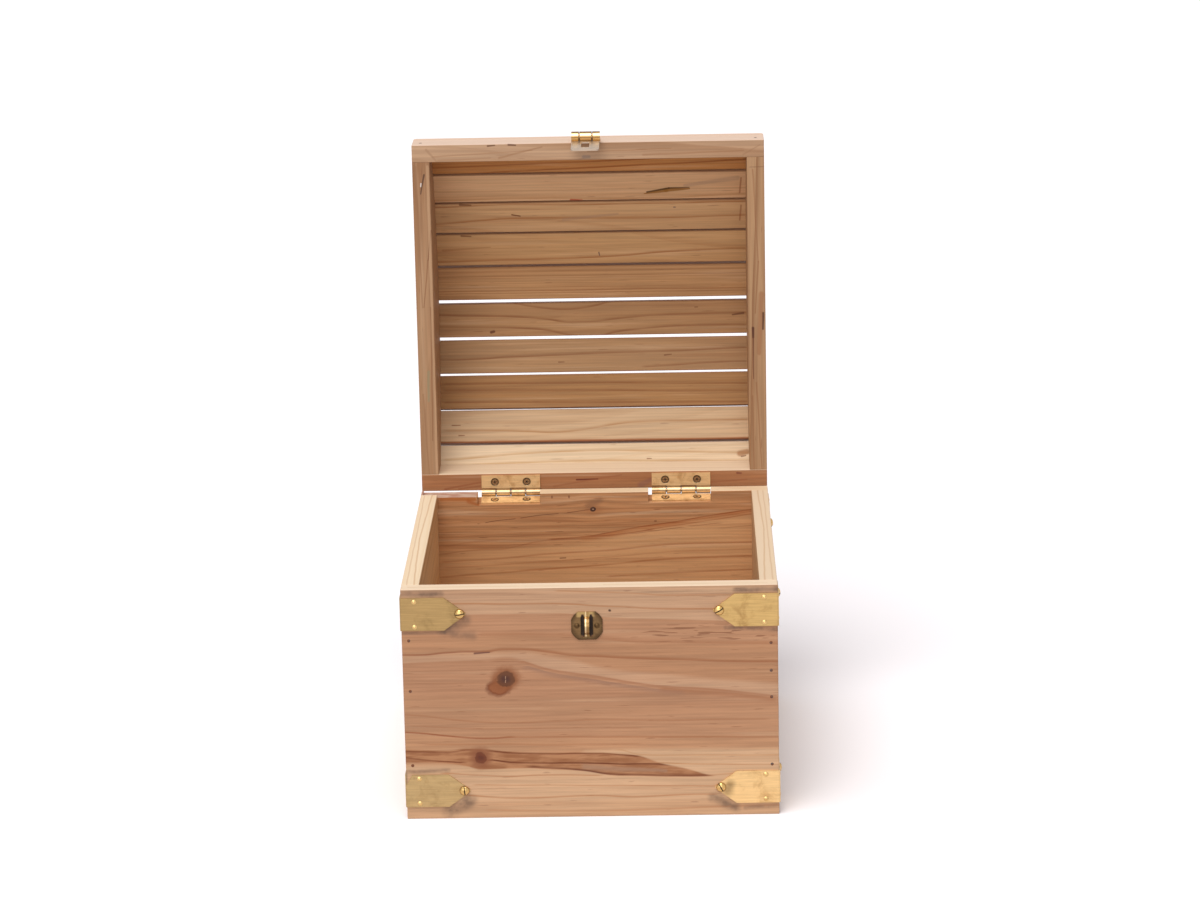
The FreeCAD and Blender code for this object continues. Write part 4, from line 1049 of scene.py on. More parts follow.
def lay_bark_edge(tree, colour, place):
    """The stained rest of bark on the upper edge, at the left end of the back board."""
    height = parts_of(tree, frame_place(tree))[2]
    along, _, through = parts_of(tree, place)
    bark = times(tree, falling(tree, along, -0.0868, -0.086), step(tree, height, 0.1606, 0.1609))
    inner = times(tree, bark, step(tree, calc(tree, "ABSOLUTE", through), 0.0061, 0.0059))
    stain = mix(tree, step(tree, noise(tree, place, (90.0, 300.0, 300.0), 3.0), 0.4, 0.6),
                shade(178, 132, 112), shade(196, 168, 148))
    return mix(tree, inner, colour, stain)


def dress_back_panel():
    """The back board, with a crack, a small knot, an orange resin streak and the bark's edge."""
    node = "back_panel"
    material, tree, place = board_tree(node)
    level = middle_of(node).z * 1000
    small = knot_at(tree, place, level, -1.1, 150.3, 1.9, 1.2, 4.0, 0.4)
    grain = board_grain(tree, node, small["Place"])
    colour = board_colour(tree, node, grain)
    moved = wavering(tree, place)
    colour = band(tree, colour, moved, from_middle(BACK_BAND, level), 4.0, (206, 157, 110))
    colour = fibrous(tree, colour, grain, BOARDS[node]["dark"])
    patchy = step(tree, noise(tree, place, (22.0, 300.0, 300.0), 2.0), 0.3, 0.65, 0.5, 1.0)
    colour = lay_rings(tree, colour, moved, BACK_RINGS, level, patchy)
    broken = step(tree, noise(tree, place, (120.0, 10.0, 10.0), 1.0), 0.4, 0.48)
    colour = draw_ring(tree, colour, place, from_middle(BACK_CRACK, level), 0.45, 0.45, (92, 54, 36),
                       times(tree, broken, 0.8), 0.002)
    colour = paint(tree, colour, small["Halo"], (158, 100, 62), 0.35)
    colour = paint(tree, colour, small["Core"], (70, 44, 34))
    colour = lay_marks(tree, colour, place, on_upright(level), BACK_MARKS)
    colour = pale_edge_and_sheen(tree, node, colour, grain)
    colour = lay_bark_edge(tree, colour, place)
    wood_surface(tree, colour, grain)
    cover(node, material)


# Brass finish

# Kinds of brass: clean and dull tone, seed, tarnish, specks, roughness and how metallic it looks
BRASSES = {
    "polished_brass": ((206, 166, 118), (176, 134, 84), 3.0, 0.3, 0.2, 0.25, 0.8),
    "hinge_brass": ((238, 196, 140), (190, 142, 88), 3.0, 0.6, 0.5, 0.34, 0.35),
    "aged_brass": ((122, 94, 60), (74, 52, 32), 5.0, 0.6, 0.6, 0.3, 0.85),
    "hasp_brass": ((200, 160, 102), (170, 128, 76), 3.0, 0.5, 0.4, 0.34, 0.9),
    # The flap's brass, painted paler and greyer than its knuckles: a painted reflection of the pale
    # surroundings
    "flap_brass_painted_reflection": ((176, 157, 138), (146, 124, 100), 7.0, 0.45, 0.3, 0.36, 0.9),
    "pin_brass": ((208, 174, 116), (150, 116, 66), 9.0, 0.5, 0.3, 0.25, 1.0),
    "dome_brass": ((204, 168, 108), (150, 114, 64), 10.0, 0.5, 0.3, 0.25, 1.0),
    "recess_dark": ((70, 50, 28), (44, 30, 18), 8.0, 0.5, 0.2, 0.6, 0.4),
}

# The flap's knuckles, more golden than the rest of it, and the painted shade on all knuckles
KNUCKLE_GOLD = (196, 158, 100)
KNUCKLE_SHADE = (104, 72, 36)


def brass(name, recipe=None, shade_and_tarnish=(), details=None):
    """A brass with its dull clouds, specks and rubbing marks, and the dark spots that it is given: painted
    contact shade round the fasteners set in it, and tarnished patches.
    """
    made = bpy.data.materials.get(name)
    if made:
        return made
    clean, dull, seed, tarnish, specks, roughness, metallic = recipe or BRASSES[name]
    material, tree = new_material(name)
    patina = place_group(tree, brass_patina, Seed=seed, Tarnish=tarnish, Specks=specks)
    colour = mix(tree, patina["Cloud"], shade(*clean), shade(*dull))
    colour = toned(tree, colour, step(tree, patina["Rub"], 0.35, 0.65, 0.9, 1.06))
    colour = paint(tree, colour, patina["Speck"], (84, 58, 30), 0.6)
    here = frame_place(tree)
    # Painted contact shade round each fastener, and tarnished patches where given, in one dark tone
    for centre, radius, strength, spread in shade_and_tarnish:
        away = vector_calc(tree, "DISTANCE", here, tuple(centre))
        colour = paint(tree, colour, falling(tree, away, radius, radius + spread, strength), (74, 52, 26))
    if details:
        colour = details(tree, here, colour)
    rough = plus(tree, times(tree, patina["Cloud"], 0.16),
                 step(tree, patina["Rub"], 0.3, 0.7, roughness - 0.05, roughness + 0.05))
    bump = add(tree, "ShaderNodeBump",
               {"Strength": 0.12, "Distance": 0.0002, "Height": patina["Height"]}).outputs[0]
    surface_from(tree, {"Base Color": colour, "Metallic": metallic, "Roughness": rough, "Normal": bump})
    return material


def knuckles(axis, radius, splits, gold=None):
    """Painted light and shade on knuckles along X: painted shade on their flanks, foot and crown and on the
    leaf just beside them, a painted highlight along the ridge, and painted shade in the split where two of
    them meet.
    """
    def details(tree, here, colour):
        x, y, z = parts_of(tree, here)
        off_z = minus(tree, z, axis.z)
        away = vector_calc(tree, "LENGTH", joined(tree, minus(tree, y, axis.y), off_z))
        inside = falling(tree, away, radius + 0.0002, radius + 0.0004)
        if gold:
            colour = paint(tree, colour, inside, gold)
        # Painted shade in bands round the axis, by how high a point lies on the knuckle
        lift = calc(tree, "DIVIDE", off_z, radius)
        flank = between(tree, lift, -0.05, 0.1, 0.22, 0.38)
        foot = falling(tree, lift, -0.8, -0.35)
        crown = step(tree, lift, 0.8, 0.92)
        dark = calc(tree, "MAXIMUM", calc(tree, "MAXIMUM", flank, foot), crown)
        colour = paint(tree, colour, times(tree, dark, inside), KNUCKLE_SHADE, 0.85)
        # Painted shade on the leaf just beside the knuckle
        seam_shade = times(tree, minus(tree, 1.0, inside),
                     falling(tree, away, radius + 0.0003, radius + 0.0012, 0.6))
        colour = paint(tree, colour, seam_shade, KNUCKLE_SHADE)
        # A painted highlight along the knuckle's ridge
        ridge = between(tree, lift, 0.34, 0.46, 0.66, 0.8)
        colour = paint(tree, colour, times(tree, ridge, inside), (238, 210, 166), 0.8)
        # Painted shade in the split between two knuckles
        for split in splits:
            aside = calc(tree, "ABSOLUTE", minus(tree, x, split))
            near = times(tree, falling(tree, aside, 0.0004, 0.0009, 0.9), inside)
            colour = paint(tree, colour, near, (60, 38, 18))
        return colour
    return details


# How far past a plate's edges its fasteners may lie, and how far the painted contact shade fades out round
# them
SEAT_MARGIN = 0.004
SHADE_SPREAD = 0.0009


def fasteners_in(plate, fasteners, radius, strength):
    """The fasteners of one node that sit in a plate, as patches of painted contact shade."""
    low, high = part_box(plate)
    found = []
    for points in separate_solids(fasteners):
        small, big = corners_of(points)
        middle = (small + big) / 2
        if all(low[i] - SEAT_MARGIN <= middle[i] <= high[i] + SEAT_MARGIN for i in range(3)):
            size = big - small
            axis = longest(size)
            middle[axis] += outward_sign(middle, axis) * size[axis] / 2
            found.append((middle, radius, strength, SHADE_SPREAD))
    return found


# Small fasteners

def separate_solids(node):
    """The points of each separate solid in a node, in a steady order."""
    work = bmesh.new()
    work.from_mesh(NODES[node].data)
    bmesh.ops.remove_doubles(work, verts=work.verts[:], dist=1e-6)
    work.verts.ensure_lookup_table()
    seen, solids = set(), []
    for first in work.verts:
        if first.index in seen:
            continue
        seen.add(first.index)
        waiting, points = [first], []
        while waiting:
            vert = waiting.pop()
            points.append(vert.co.copy())
            for edge in vert.link_edges:
                other = edge.other_vert(vert)
                if other.index not in seen:
                    seen.add(other.index)
                    waiting.append(other)
        solids.append(points)
    work.free()
    return sorted(solids, key=lambda points: [round(x, 5) for x in corners_of(points)[0]])


def catch_painted_light(tree, here, colour):
    """Painted light and shade on the catch: painted shade round its rim and in its dark slits, painted light
    on the bright bridge between them with a painted highlight along it, and a painted highlight on its upper
    lip.
    """
    low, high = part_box("catch_plate")
    middle, size = (low + high) / 2, high - low
    x, _, z = parts_of(tree, here)
    wide = calc(tree, "DIVIDE", minus(tree, x, middle.x), size.x / 2)
    tall = calc(tree, "DIVIDE", minus(tree, z, middle.z), size.z / 2)
    aside = calc(tree, "ABSOLUTE", wide)
    # Painted shade round the rim, as on a domed plate
    rim = step(tree, vector_calc(tree, "LENGTH", joined(tree, wide, tall)), 0.72, 1.1)
    colour = paint(tree, colour, rim, (58, 40, 24), 0.7)
    # A painted highlight on the upper lip
    lip = times(tree, step(tree, tall, 0.55, 0.7), step(tree, wide, -0.75, -0.55),
                falling(tree, wide, 0.3, 0.6))
    colour = paint(tree, colour, lip, (206, 172, 112), 0.6)
    # Painted shade in the slits
    slit = times(tree, between(tree, aside, 0.12, 0.18, 0.36, 0.44),
                 falling(tree, calc(tree, "ABSOLUTE", tall), 0.62, 0.72))
    colour = paint(tree, colour, slit, (34, 24, 18), 0.92)
    # Painted light on the bridge, and a painted highlight along it
    bridge = times(tree, falling(tree, aside, 0.1, 0.16), step(tree, tall, -0.85, -0.7))
    colour = paint(tree, colour, bridge, (150, 114, 64), 0.6)
    shine = times(tree, between(tree, wide, -0.13, -0.09, -0.05, -0.01), bridge)
    return paint(tree, colour, shine, (236, 212, 168), 0.7)


def mesh_from(work, name):
    """The mesh of a draft, which is freed."""
    mesh = bpy.data.meshes.new(name)
    work.to_mesh(mesh)
    work.free()
    return mesh


def in_scene(name, data):
    """A new object of the scene with this mesh, lamp or camera."""
    piece = bpy.data.objects.new(name, data)
    bpy.context.collection.objects.link(piece)
    return piece


def longest(size):
    """The axis along which a size is largest."""
    return max(range(3), key=lambda axis: size[axis])


def outward_sign(place, axis):
    """One for a place past the middle of the whole along an axis, or else minus one."""
    return math.copysign(1.0, place[axis] - (CAD_BOX[0] + CAD_BOX[1])[axis] / 2)


def corners_of(points):
    """The lowest and highest corner of the box round some points."""
    return Vector(map(min, zip(*points))), Vector(map(max, zip(*points)))


def turned_mesh(profile, segments=32):
    """A closed solid of revolution about Z from points of (radius, height), from axis to axis."""
    work = bmesh.new()
    verts = [work.verts.new((radius, 0.0, height)) for radius, height in profile]
    edges = [work.edges.new(pair) for pair in zip(verts, verts[1:])]
    bmesh.ops.spin(work, geom=verts + edges, cent=(0, 0, 0), axis=(0, 0, 1),
                   angle=math.tau, steps=segments, use_merge=True)
    bmesh.ops.remove_doubles(work, verts=work.verts[:], dist=1e-6)
    bmesh.ops.recalc_face_normals(work, faces=work.faces[:])
    return mesh_from(work, "turned")


def block_mesh(size, height=0.0, taper=1.0):
    """A block round a height on the Z axis, narrower at its lower end by the taper, for cutting a recess."""
    work = bmesh.new()
    bmesh.ops.create_cube(work, size=1.0)
    for vert in work.verts:
        narrow = taper if vert.co.z < 0 else 1.0
        vert.co = (vert.co.x * size[0] * narrow, vert.co.y * size[1] * narrow, vert.co.z * size[2] + height)
    return mesh_from(work, "block")


def cut_away(mesh, cutters):
    """The mesh with each cutter taken out of it."""
    body = in_scene("body_to_cut", mesh)
    tools = [in_scene("cutter", cutter) for cutter in cutters]
    for tool in tools:
        change = body.modifiers.new("cut", "BOOLEAN")
        change.object, change.operation, change.solver = tool, "DIFFERENCE", "EXACT"
    bpy.context.view_layer.update()
    made = bpy.data.meshes.new_from_object(body.evaluated_get(bpy.context.evaluated_depsgraph_get()))
    for used in (body, *tools):
        bpy.data.objects.remove(used)
    return made


def set_in(name, mesh, places, materials, body):
    """One piece with the mesh at each place, riding a body. A place is a point, the way out and a turn."""
    work = bmesh.new()
    for point, outward, turn in places:
        placed = mesh.copy()
        placed.transform(Matrix.Translation(point) @ outward.to_track_quat("Z", "Y").to_matrix().to_4x4()
                         @ Matrix.Rotation(turn, 4, "Z"))
        work.from_mesh(placed)
        bpy.data.meshes.remove(placed)
    piece = in_scene(name, mesh_from(work, name))
    for material in materials:
        piece.data.materials.append(material)
    piece.data.shade_smooth()
    piece.data.set_sharp_from_angle(angle=math.radians(32))
    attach(piece, body)
    return piece


def dome_profile(radius, height, depth, rim):
    """A domed head over a short shank that ends at the given depth below the seat."""
    angles = [math.radians(90 - 15 * i) for i in range(1, 6)]
    arc = [(radius * math.cos(angle), rim + (height - rim) * math.sin(angle)) for angle in angles]
    return [(0.0, height), *arc, (radius, rim),
            (radius, 0.0), (radius * 0.5, 0.0), (radius * 0.5, -depth), (0.0, -depth)]


def cross_head(radius):
    """A countersunk head with a cross recess, and darker faces in its recess and round its rim."""
    head = turned_mesh([(0.0, 0.0), (radius * 0.86, 0.0), (radius * 0.9, -0.00025), (radius, -0.00005),
                        (radius, -0.0004), (radius * 0.45, -0.0016), (0.0, -0.0016)], 36)
    long, wide = radius * 1.25, radius * 0.3
    cross = [block_mesh((across, up, 0.0012), taper=0.4) for across, up in ((long, wide), (wide, long))]
    return darken_low_faces(cut_away(head, cross), radius * 0.88, 0.00004)


def darken_low_faces(mesh, radius, depth):
    """Gives the second material to faces of a head that lie in its recess or at its rim."""
    for polygon in mesh.polygons:
        centre = polygon.center
        if centre.z < -depth or centre.xy.length > radius:
            polygon.material_index = 1
    return mesh


def head_places(node, seat, turns, outward=None):
    """Where each fastener of a node is seated, which way its head looks and how far it is turned."""
    found = []
    for i, points in enumerate(separate_solids(node)):
        low, high = corners_of(points)
        way = outward
        if way is None:
            axis = longest(high - low)
            way = Vector((0.0, 0.0, 0.0))
            way[axis] = outward_sign((low + high) / 2, axis)
        reach = max(point.dot(way) for point in points)
        face = [point for point in points if point.dot(way) > reach - 1e-5]
        top = sum(face, Vector()) / len(face) - way * seat
        found.append((top, way, turns[i % len(turns)]))
    return found


# Settings

class BoxWoodSettings(bpy.types.PropertyGroup):
    """How the bare boards look."""
    roughness: FloatProperty(name="Roughness", description="How dull the planed wood is", default=0.62,
                             min=0.0, max=1.0, subtype="FACTOR")
    relief: FloatProperty(name="Relief", description="How strongly the fibres stand out", default=0.35,
                          min=0.0, max=1.0, subtype="FACTOR")


class BoxBrassSettings(bpy.types.PropertyGroup):
    """Sizes of the small fasteners."""
    dome_radius: FloatProperty(name="Dome radius", description="Radius of a corner screw's head",
                               default=0.0033, unit="LENGTH")
    dome_height: FloatProperty(name="Dome height", description="Height of a corner screw's head",
                               default=0.0022, unit="LENGTH")
    hinge_screw_radius: FloatProperty(name="Hinge screw radius",
                                      description="Radius of a countersunk hinge screw",
                                      default=0.0026, unit="LENGTH")
    slot_width: FloatProperty(name="Slot width", description="Width of the slot in a corner screw",
                              default=0.0008, unit="LENGTH")
    nail_head: FloatProperty(name="Nail head", description="Diameter of a nail head in the boards",
                             default=0.0022, unit="LENGTH")


class BoxStageSettings(bpy.types.PropertyGroup):
    """The floor and the lamps."""
    floor_colour: FloatVectorProperty(name="Floor colour", description="Colour of the pale floor", size=4,
                                      default=(1.0, 0.965, 0.985, 1.0), min=0.0, max=1.0, subtype="COLOR")
    sky: FloatProperty(name="Sky", description="Strength of the even light from all round", default=0.45)
    key: FloatProperty(name="Key lamp", description="Strength of the soft lamp above the left", default=2.0)
    fill: FloatProperty(name="Fill lamp", description="Strength of the soft lamp from the front", default=1.1)


# Operators

class BOX_OT_panels(bpy.types.Operator):
    """Dress the five boards of the box"""
    bl_idname = "storage_box.panels"
    bl_label = "Box boards"

    def execute(self, context):
        dress_front_panel()
        dress_back_panel()
        for node in ("left_side_panel", "right_side_panel", "bottom_panel"):
            dress_board(node)
        return {"FINISHED"}


class BOX_OT_lid_frame(bpy.types.Operator):
    """Dress the lid's two rails and two arched ends"""
    bl_idname = "storage_box.lid_frame"
    bl_label = "Lid frame"

    def execute(self, context):
        for node in ("lid_front_rail", "lid_back_rail", "lid_left_end", "lid_right_end"):
            dress_board(node)
        return {"FINISHED"}


class BOX_OT_slats(bpy.types.Operator):
    """Dress the slats of the lid"""
    bl_idname = "storage_box.slats"
    bl_label = "Lid slats"

    def execute(self, context):
        for node in nodes_called("lid_slat_"):
            dress_board(node)
        return {"FINISHED"}


# Clean and dull tones of the front's brackets, each one lighter or darker as a painted reflection of what
# faces it, and of all the others
LIT_BRACKET_TONES = {
    "corner_bracket_front_left_top": ((170, 140, 92), (142, 116, 74)),
    "corner_bracket_front_left_bottom": ((182, 154, 108), (158, 130, 88)),
    "corner_bracket_front_right_top": ((196, 162, 104), (164, 130, 80)),
    "corner_bracket_front_right_bottom": ((226, 190, 134), (188, 150, 98)),
}
OTHER_BRACKET_TONES = ((190, 156, 104), (160, 128, 82))

# Tarnish, specks, roughness and metallic look of the brackets
BRACKET_PATINA = (0.55, 0.35, 0.36, 0.9)

# Painted contact shade round a bracket's pins and screws: radius and strength
PIN_SHADE = (0.0013, 0.75)
SCREW_SHADE = (0.0036, 0.7)

# Tarnished patches near the palest bracket's tip: place from its lower corner, radius, strength and spread
PALE_BRACKET_PATCHES = (
    (Vector((0.008, 0.0, 0.009)), 0.0005, 0.5, 0.006),
    (Vector((0.0105, 0.0, 0.0135)), 0.0002, 0.45, 0.005),
)


class BOX_OT_brackets(bpy.types.Operator):
    """Dress the eight corner brackets"""
    bl_idname = "storage_box.brackets"
    bl_label = "Corner brackets"

    def execute(self, context):
        for i, node in enumerate(nodes_called("corner_bracket_")):
            # Painted contact shade round the pins and screws, and tarnished patches on the palest bracket
            shade_and_tarnish = (fasteners_in(node, "bracket_pins", *PIN_SHADE)
                    + fasteners_in(node, "bracket_screws", *SCREW_SHADE))
            if node == "corner_bracket_front_right_bottom":
                shade_and_tarnish += [(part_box(node)[0] + offset, *patch) for offset, *patch in PALE_BRACKET_PATCHES]
            tones = LIT_BRACKET_TONES.get(node, OTHER_BRACKET_TONES)
            cover(node, brass(f"plate_brass_{i}", (*tones, float(i), *BRACKET_PATINA), shade_and_tarnish))
        cover("bracket_pins", brass("pin_brass"))
        return {"FINISHED"}


class BOX_OT_bracket_screws(bpy.types.Operator):
    """Set the slotted domed screws at the tips of the brackets"""
    bl_idname = "storage_box.bracket_screws"
    bl_label = "Bracket screws"

    def execute(self, context):
        sizes = context.scene.box_brass
        radius, height = sizes.dome_radius, sizes.dome_height
        dome = turned_mesh(dome_profile(radius, height, depth=0.004, rim=0.0003))
        head = cut_away(dome, [block_mesh((sizes.slot_width, radius * 3, height), height)])
        for polygon in head.polygons:
            centre = polygon.center
            if abs(centre.x) <= sizes.slot_width / 2 + 1e-5 and centre.z > 0.0002:
                polygon.material_index = 1
        turns = [0.5, 2.1, 1.2, 2.7, 0.1, 1.7, 0.9, 2.4]
        screws = set_in("bracket_dome_screws", head, head_places("bracket_screws", height, turns),
                        (brass("dome_brass"), brass("recess_dark")), "box")
        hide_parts("bracket_screws")
        return {"FINISHED"}


# The hinge knuckles' radius and gap, and how far the box leaves tilt in their notches, in degrees
HINGE_KNUCKLE_RADIUS = 0.0026
HINGE_KNUCKLE_GAP = 0.0004
HINGE_KNUCKLES = 4
BOX_LEAF_TILT = 14


def knuckle_splits(leaf):
    """Where the knuckles along a hinge leaf part, in X."""
    low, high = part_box(leaf)
    pitch = (high.x - low.x + HINGE_KNUCKLE_GAP) / HINGE_KNUCKLES
    return [low.x + pitch * turn - HINGE_KNUCKLE_GAP / 2 for turn in range(1, HINGE_KNUCKLES)]


class BOX_OT_hinges(bpy.types.Operator):
    """Dress the two butt hinges and their screws"""
    bl_idname = "storage_box.hinges"
    bl_label = "Hinges"

    def execute(self, context):
        axis = middle_of("hinge_left_pin")
        radius = context.scene.box_brass.hinge_screw_radius
        tilt = math.radians(BOX_LEAF_TILT)
        kinds = (("lid_hinge_screws", "lid", Vector((0, -1, 0)), "_lid_leaf"),
                 ("box_hinge_screws", "box", Vector((0, -math.sin(tilt), math.cos(tilt))), "_box_leaf"))
        turns = [0.3, 0.75, 0.1, 0.55]
        for screws, body, outward, ending in kinds:
            places = head_places(screws, 0.0, turns, outward)
            made = set_in(screws + "_heads", cross_head(radius), places,
                          (brass("polished_brass"), brass("recess_dark")), body)
            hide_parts(screws)
            for side in ("left", "right"):
                leaf = "hinge_" + side + ending
                # Painted contact shade round each screw head on this leaf
                shade_and_tarnish = [(point, radius + 0.0001, 0.75, 0.0007) for point, _, _ in places
                        if (point.x < 0) == (side == "left")]
                details = knuckles(axis, HINGE_KNUCKLE_RADIUS, knuckle_splits(leaf))
                cover(leaf, brass("brass_" + leaf, BRASSES["hinge_brass"], shade_and_tarnish, details))
        for node in ("hinge_left_pin", "hinge_right_pin"):
            cover(node, brass("polished_brass"))
        return {"FINISHED"}


# How far each side of its middle the hasp's knuckles part
HASP_SPLIT = 0.0046


class BOX_OT_hasp(bpy.types.Operator):
    """Dress the hasp on the lid"""
    bl_idname = "storage_box.hasp"
    bl_label = "Hasp"

    def execute(self, context):
        axis = middle_of("hasp_hinge_pin")
        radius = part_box("hasp_flap")[1].z - axis.z
        splits = [axis.x - HASP_SPLIT, axis.x + HASP_SPLIT]
        cover("hasp_fixed_leaf", brass("hasp_brass", details=knuckles(axis, radius, splits)))
        for node in ("hasp_leaf_pins", "hasp_hinge_pin"):
            cover(node, brass("polished_brass"))
        # The flap with its painted reflection, and its knuckles golden
        cover("hasp_flap", brass("flap_brass_painted_reflection", details=knuckles(axis, radius, splits, KNUCKLE_GOLD)))
        return {"FINISHED"}


class BOX_OT_catch(bpy.types.Operator):
    """Dress the catch plate and its pins"""
    bl_idname = "storage_box.catch"
    bl_label = "Catch"

    def execute(self, context):
        # Painted contact shade round the catch's pins
        shade_and_tarnish = fasteners_in("catch_plate", "catch_pins", 0.0016, 0.8)
        for node in ("catch_plate", "catch_pins"):
            cover(node, brass("aged_brass", shade_and_tarnish=shade_and_tarnish, details=catch_painted_light))
        return {"FINISHED"}


# Heights of the nails at the left and right ends of the front and back boards
LEFT_NAILS = (0.1271, 0.0913, 0.0383)
RIGHT_NAILS = (0.1223, 0.1027, 0.0839, 0.0359)

# How far the nails stand in from the boards' ends, from the lid's middle and behind the rails' faces
PANEL_NAIL_INSET = 0.0047
LID_NAIL_REACH = 0.121
RAIL_NAIL_INSET = 0.009


def panel_nail_places():
    """Where the nails of the front and back boards sit."""
    low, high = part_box("front_panel")
    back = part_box("back_panel")[1].y
    columns = ((low.x + PANEL_NAIL_INSET, LEFT_NAILS), (high.x - PANEL_NAIL_INSET, RIGHT_NAILS))
    return [(Vector((x, y, z)), Vector((0, way, 0)), 0.0)
            for x, heights in columns for z in heights for y, way in ((low.y, -1), (back, 1))]


def lid_nail_places():
    """Where the nails of the slats and the rails sit."""
    places = []
    for side in (-1, 1):
        for node in nodes_called("lid_slat_"):
            middle, along, across = board_axes(node)
            outward = along.cross(across)
            if outward.y < 0:
                outward.negate()
            top = middle + outward * reach_along(node, outward)[1]
            places.append((top + along * side * LID_NAIL_REACH, outward, 0.0))
        for node, way in (("lid_front_rail", 1), ("lid_back_rail", -1)):
            low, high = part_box(node)
            spot = (side * LID_NAIL_REACH, low.y + RAIL_NAIL_INSET, high.z if way > 0 else low.z)
            places.append((Vector(spot), Vector((0, 0, way)), 0.0))
    return places


class BOX_OT_nails(bpy.types.Operator):
    """Set the small nail heads in the boards, the slats and the rails"""
    bl_idname = "storage_box.nails"
    bl_label = "Nails"

    def execute(self, context):
        radius = context.scene.box_brass.nail_head / 2
        head = turned_mesh([(0.0, 0.00015), (radius * 0.7, 0.00013), (radius, 0.00002), (radius, -0.0004),
                            (0.0, -0.0004)], 16)
        steel = nail_steel()
        set_in("panel_nails", head, panel_nail_places(), (steel,), "box")
        set_in("lid_nails", head, lid_nail_places(), (steel,), "lid")
        return {"FINISHED"}


def nail_steel():
    """Dark, slightly rusty wire."""
    material, tree = new_material("nail_steel")
    spots = noise(tree, frame_place(tree), (700.0, 700.0, 700.0), 2.0)
    colour = mix(tree, step(tree, spots, 0.4, 0.6), shade(92, 78, 72), shade(120, 74, 50))
    rough = step(tree, spots, 0.3, 0.7, 0.4, 0.7)
    surface_from(tree, {"Base Color": colour, "Metallic": 0.7, "Roughness": rough})
    return material


def soft_lamp(name, azimuth, elevation, strength, spread):
    """A broad, even lamp that shines from that direction, in degrees."""
    lamp = bpy.data.lights.new(name, "SUN")
    lamp.energy, lamp.angle = strength, math.radians(spread)
    piece = in_scene(name, lamp)
    around, up = math.radians(azimuth), math.radians(elevation)
    source = Vector((math.sin(around) * math.cos(up), -math.cos(around) * math.cos(up), math.sin(up)))
    piece.rotation_mode = "QUATERNION"
    piece.rotation_quaternion = source.to_track_quat("Z", "Y")
    piece.location = source * 2.0


def seen_directly(tree):
    """One where the camera sees a surface by itself, in a mirror or through glass, and nothing elsewhere."""
    rays = add(tree, "ShaderNodeLightPath").outputs
    seen = plus(tree, rays["Is Camera Ray"], rays["Is Glossy Ray"], clamp=True)
    return plus(tree, seen, rays["Is Transmission Ray"], clamp=True)


# Half the floor's side, its tone where it lights the box, and the tone of the sky
FLOOR_REACH = 12.0
FLOOR_BOUNCE = (0.55, 0.53, 0.54, 1.0)
SKY_TONE = (1.0, 0.985, 0.99, 1.0)

# Azimuth, elevation and spread of the lamps, in degrees
KEY_LAMP = (-24, 68, 40)
FILL_LAMP = (-12, 14, 50)

# The camera's place, its right, up and back directions, and its lens in millimetres
CAMERA_PLACE = (0.058146, -2.711681, 0.920396)
CAMERA_RIGHT = Vector((0.99971569, 0.01385235, -0.01940734))
CAMERA_UP = Vector((0.01535572, 0.24863517, 0.96847548))
CAMERA_BACK = Vector((0.01824101, -0.96849815, 0.24835177))
CAMERA_LENS = 120.0076
CAMERA_SENSOR = 36.0


def new_floor(settings):
    """The pale floor. It looks lighter by itself than in the light that it throws on the box."""
    work = bmesh.new()
    bmesh.ops.create_grid(work, x_segments=12, y_segments=12, size=FLOOR_REACH)
    floor = in_scene("floor", mesh_from(work, "floor"))
    material, tree = new_material("floor_paper")
    colour = mix(tree, seen_directly(tree), FLOOR_BOUNCE, tuple(settings.floor_colour))
    surface_from(tree, {"Base Color": colour, "Roughness": 0.9, "Specular IOR Level": 0.0})
    floor.data.materials.append(material)
    return floor


def light_room(scene, settings):
    """The even sky and the two soft lamps."""
    world = scene.world or bpy.data.worlds.new("studio")
    scene.world = world
    world.use_nodes = True
    tree = world.node_tree
    tree.nodes.clear()
    strength = step(tree, seen_directly(tree), 0.0, 1.0, settings.sky, 1.0)
    sky = add(tree, "ShaderNodeBackground", {"Color": SKY_TONE, "Strength": strength})
    add(tree, "ShaderNodeOutputWorld", {0: sky.outputs[0]})
    for name, (azimuth, elevation, spread), power in (("key_lamp", KEY_LAMP, settings.key),
                                                      ("fill_lamp", FILL_LAMP, settings.fill)):
        soft_lamp(name, azimuth, elevation, power, spread)


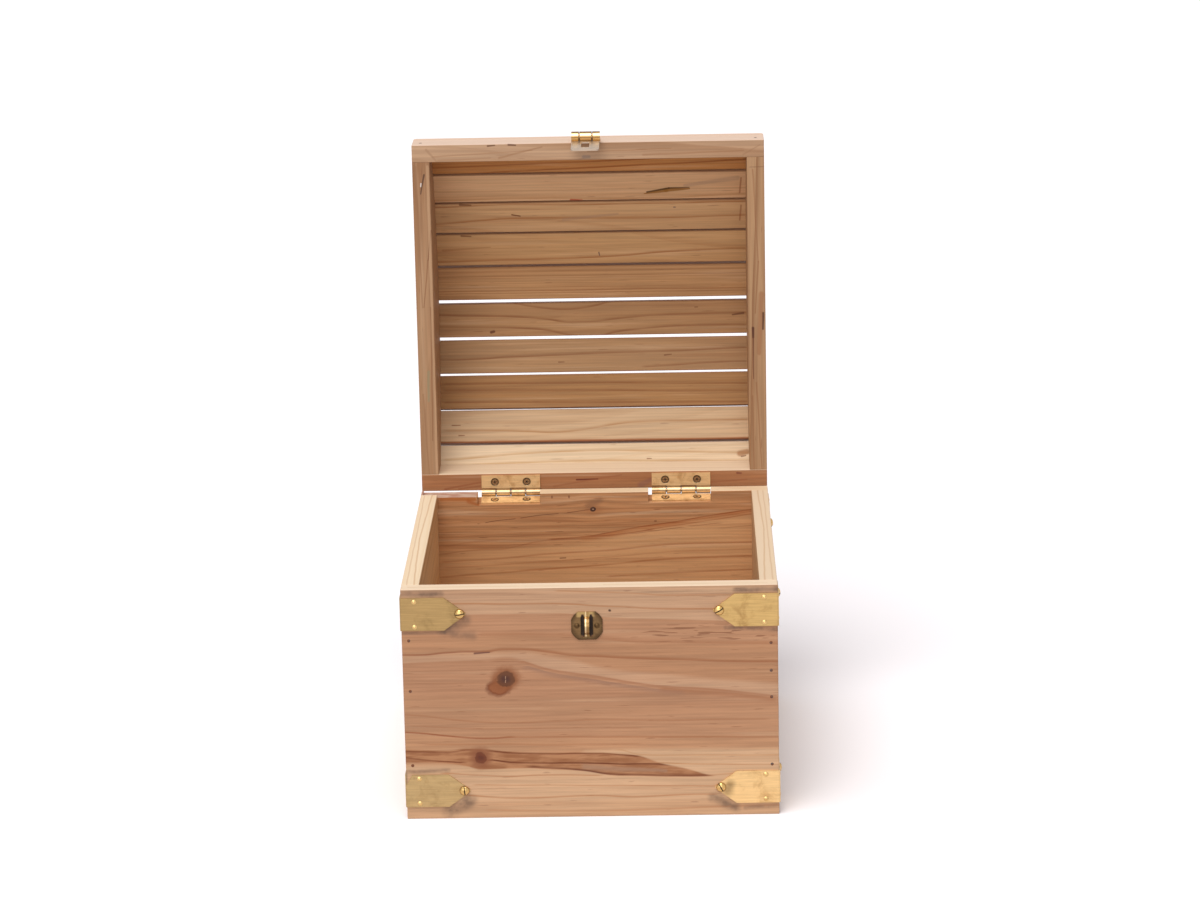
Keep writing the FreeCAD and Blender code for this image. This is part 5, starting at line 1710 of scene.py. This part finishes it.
def set_camera():
    """The camera in front of the box, a little above it."""
    camera = bpy.data.cameras.new("camera")
    camera.lens, camera.sensor_width = CAMERA_LENS, CAMERA_SENSOR
    camera.clip_start, camera.clip_end = 0.1, 60.0
    viewer = in_scene("camera", camera)
    turn = Matrix((CAMERA_RIGHT, CAMERA_UP, CAMERA_BACK)).transposed().to_4x4()
    viewer.matrix_world = Matrix.Translation(CAMERA_PLACE) @ turn
    bpy.context.scene.camera = viewer


class BOX_OT_stage(bpy.types.Operator):
    """Set the floor, the lamps, the world and the camera"""
    bl_idname = "storage_box.stage"
    bl_label = "Stage"

    def execute(self, context):
        settings = context.scene.box_stage
        floor = new_floor(settings)
        light_room(context.scene, settings)
        set_camera()
        context.scene.view_settings.view_transform = "Standard"
        return {"FINISHED"}


class BOX_PT_pieces(bpy.types.Panel):
    """The pieces of the storage box"""
    bl_idname = "BOX_PT_pieces"
    bl_label = "Storage Box"
    bl_space_type = "VIEW_3D"
    bl_region_type = "UI"
    bl_category = "Storage Box"

    def draw(self, context):
        for operator in OPERATORS:
            self.layout.operator(operator.bl_idname)
        for settings in (context.scene.box_wood, context.scene.box_brass, context.scene.box_stage):
            for name in settings.bl_rna.properties.keys():
                if name not in {"rna_type", "name"}:
                    self.layout.prop(settings, name)


OPERATORS = (BOX_OT_panels, BOX_OT_lid_frame, BOX_OT_slats, BOX_OT_brackets, BOX_OT_bracket_screws,
             BOX_OT_hinges, BOX_OT_hasp, BOX_OT_catch, BOX_OT_nails, BOX_OT_stage)
SETTINGS = {"box_wood": BoxWoodSettings, "box_brass": BoxBrassSettings, "box_stage": BoxStageSettings}


def register():
    for group in SETTINGS.values():
        bpy.utils.register_class(group)
    for name, group in SETTINGS.items():
        setattr(bpy.types.Scene, name, PointerProperty(type=group))
    for kind in (*OPERATORS, BOX_PT_pieces):
        bpy.utils.register_class(kind)


def unregister():
    for kind in (BOX_PT_pieces, *reversed(OPERATORS)):
        bpy.utils.unregister_class(kind)
    for name in SETTINGS:
        delattr(bpy.types.Scene, name)
    for group in reversed(SETTINGS.values()):
        bpy.utils.unregister_class(group)


def main():
    """Registers the add-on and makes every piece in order."""
    register()
    for operator in OPERATORS:
        area, _, name = operator.bl_idname.partition(".")
        getattr(getattr(bpy.ops, area), name)()


if __name__ == "__main__":
    main()
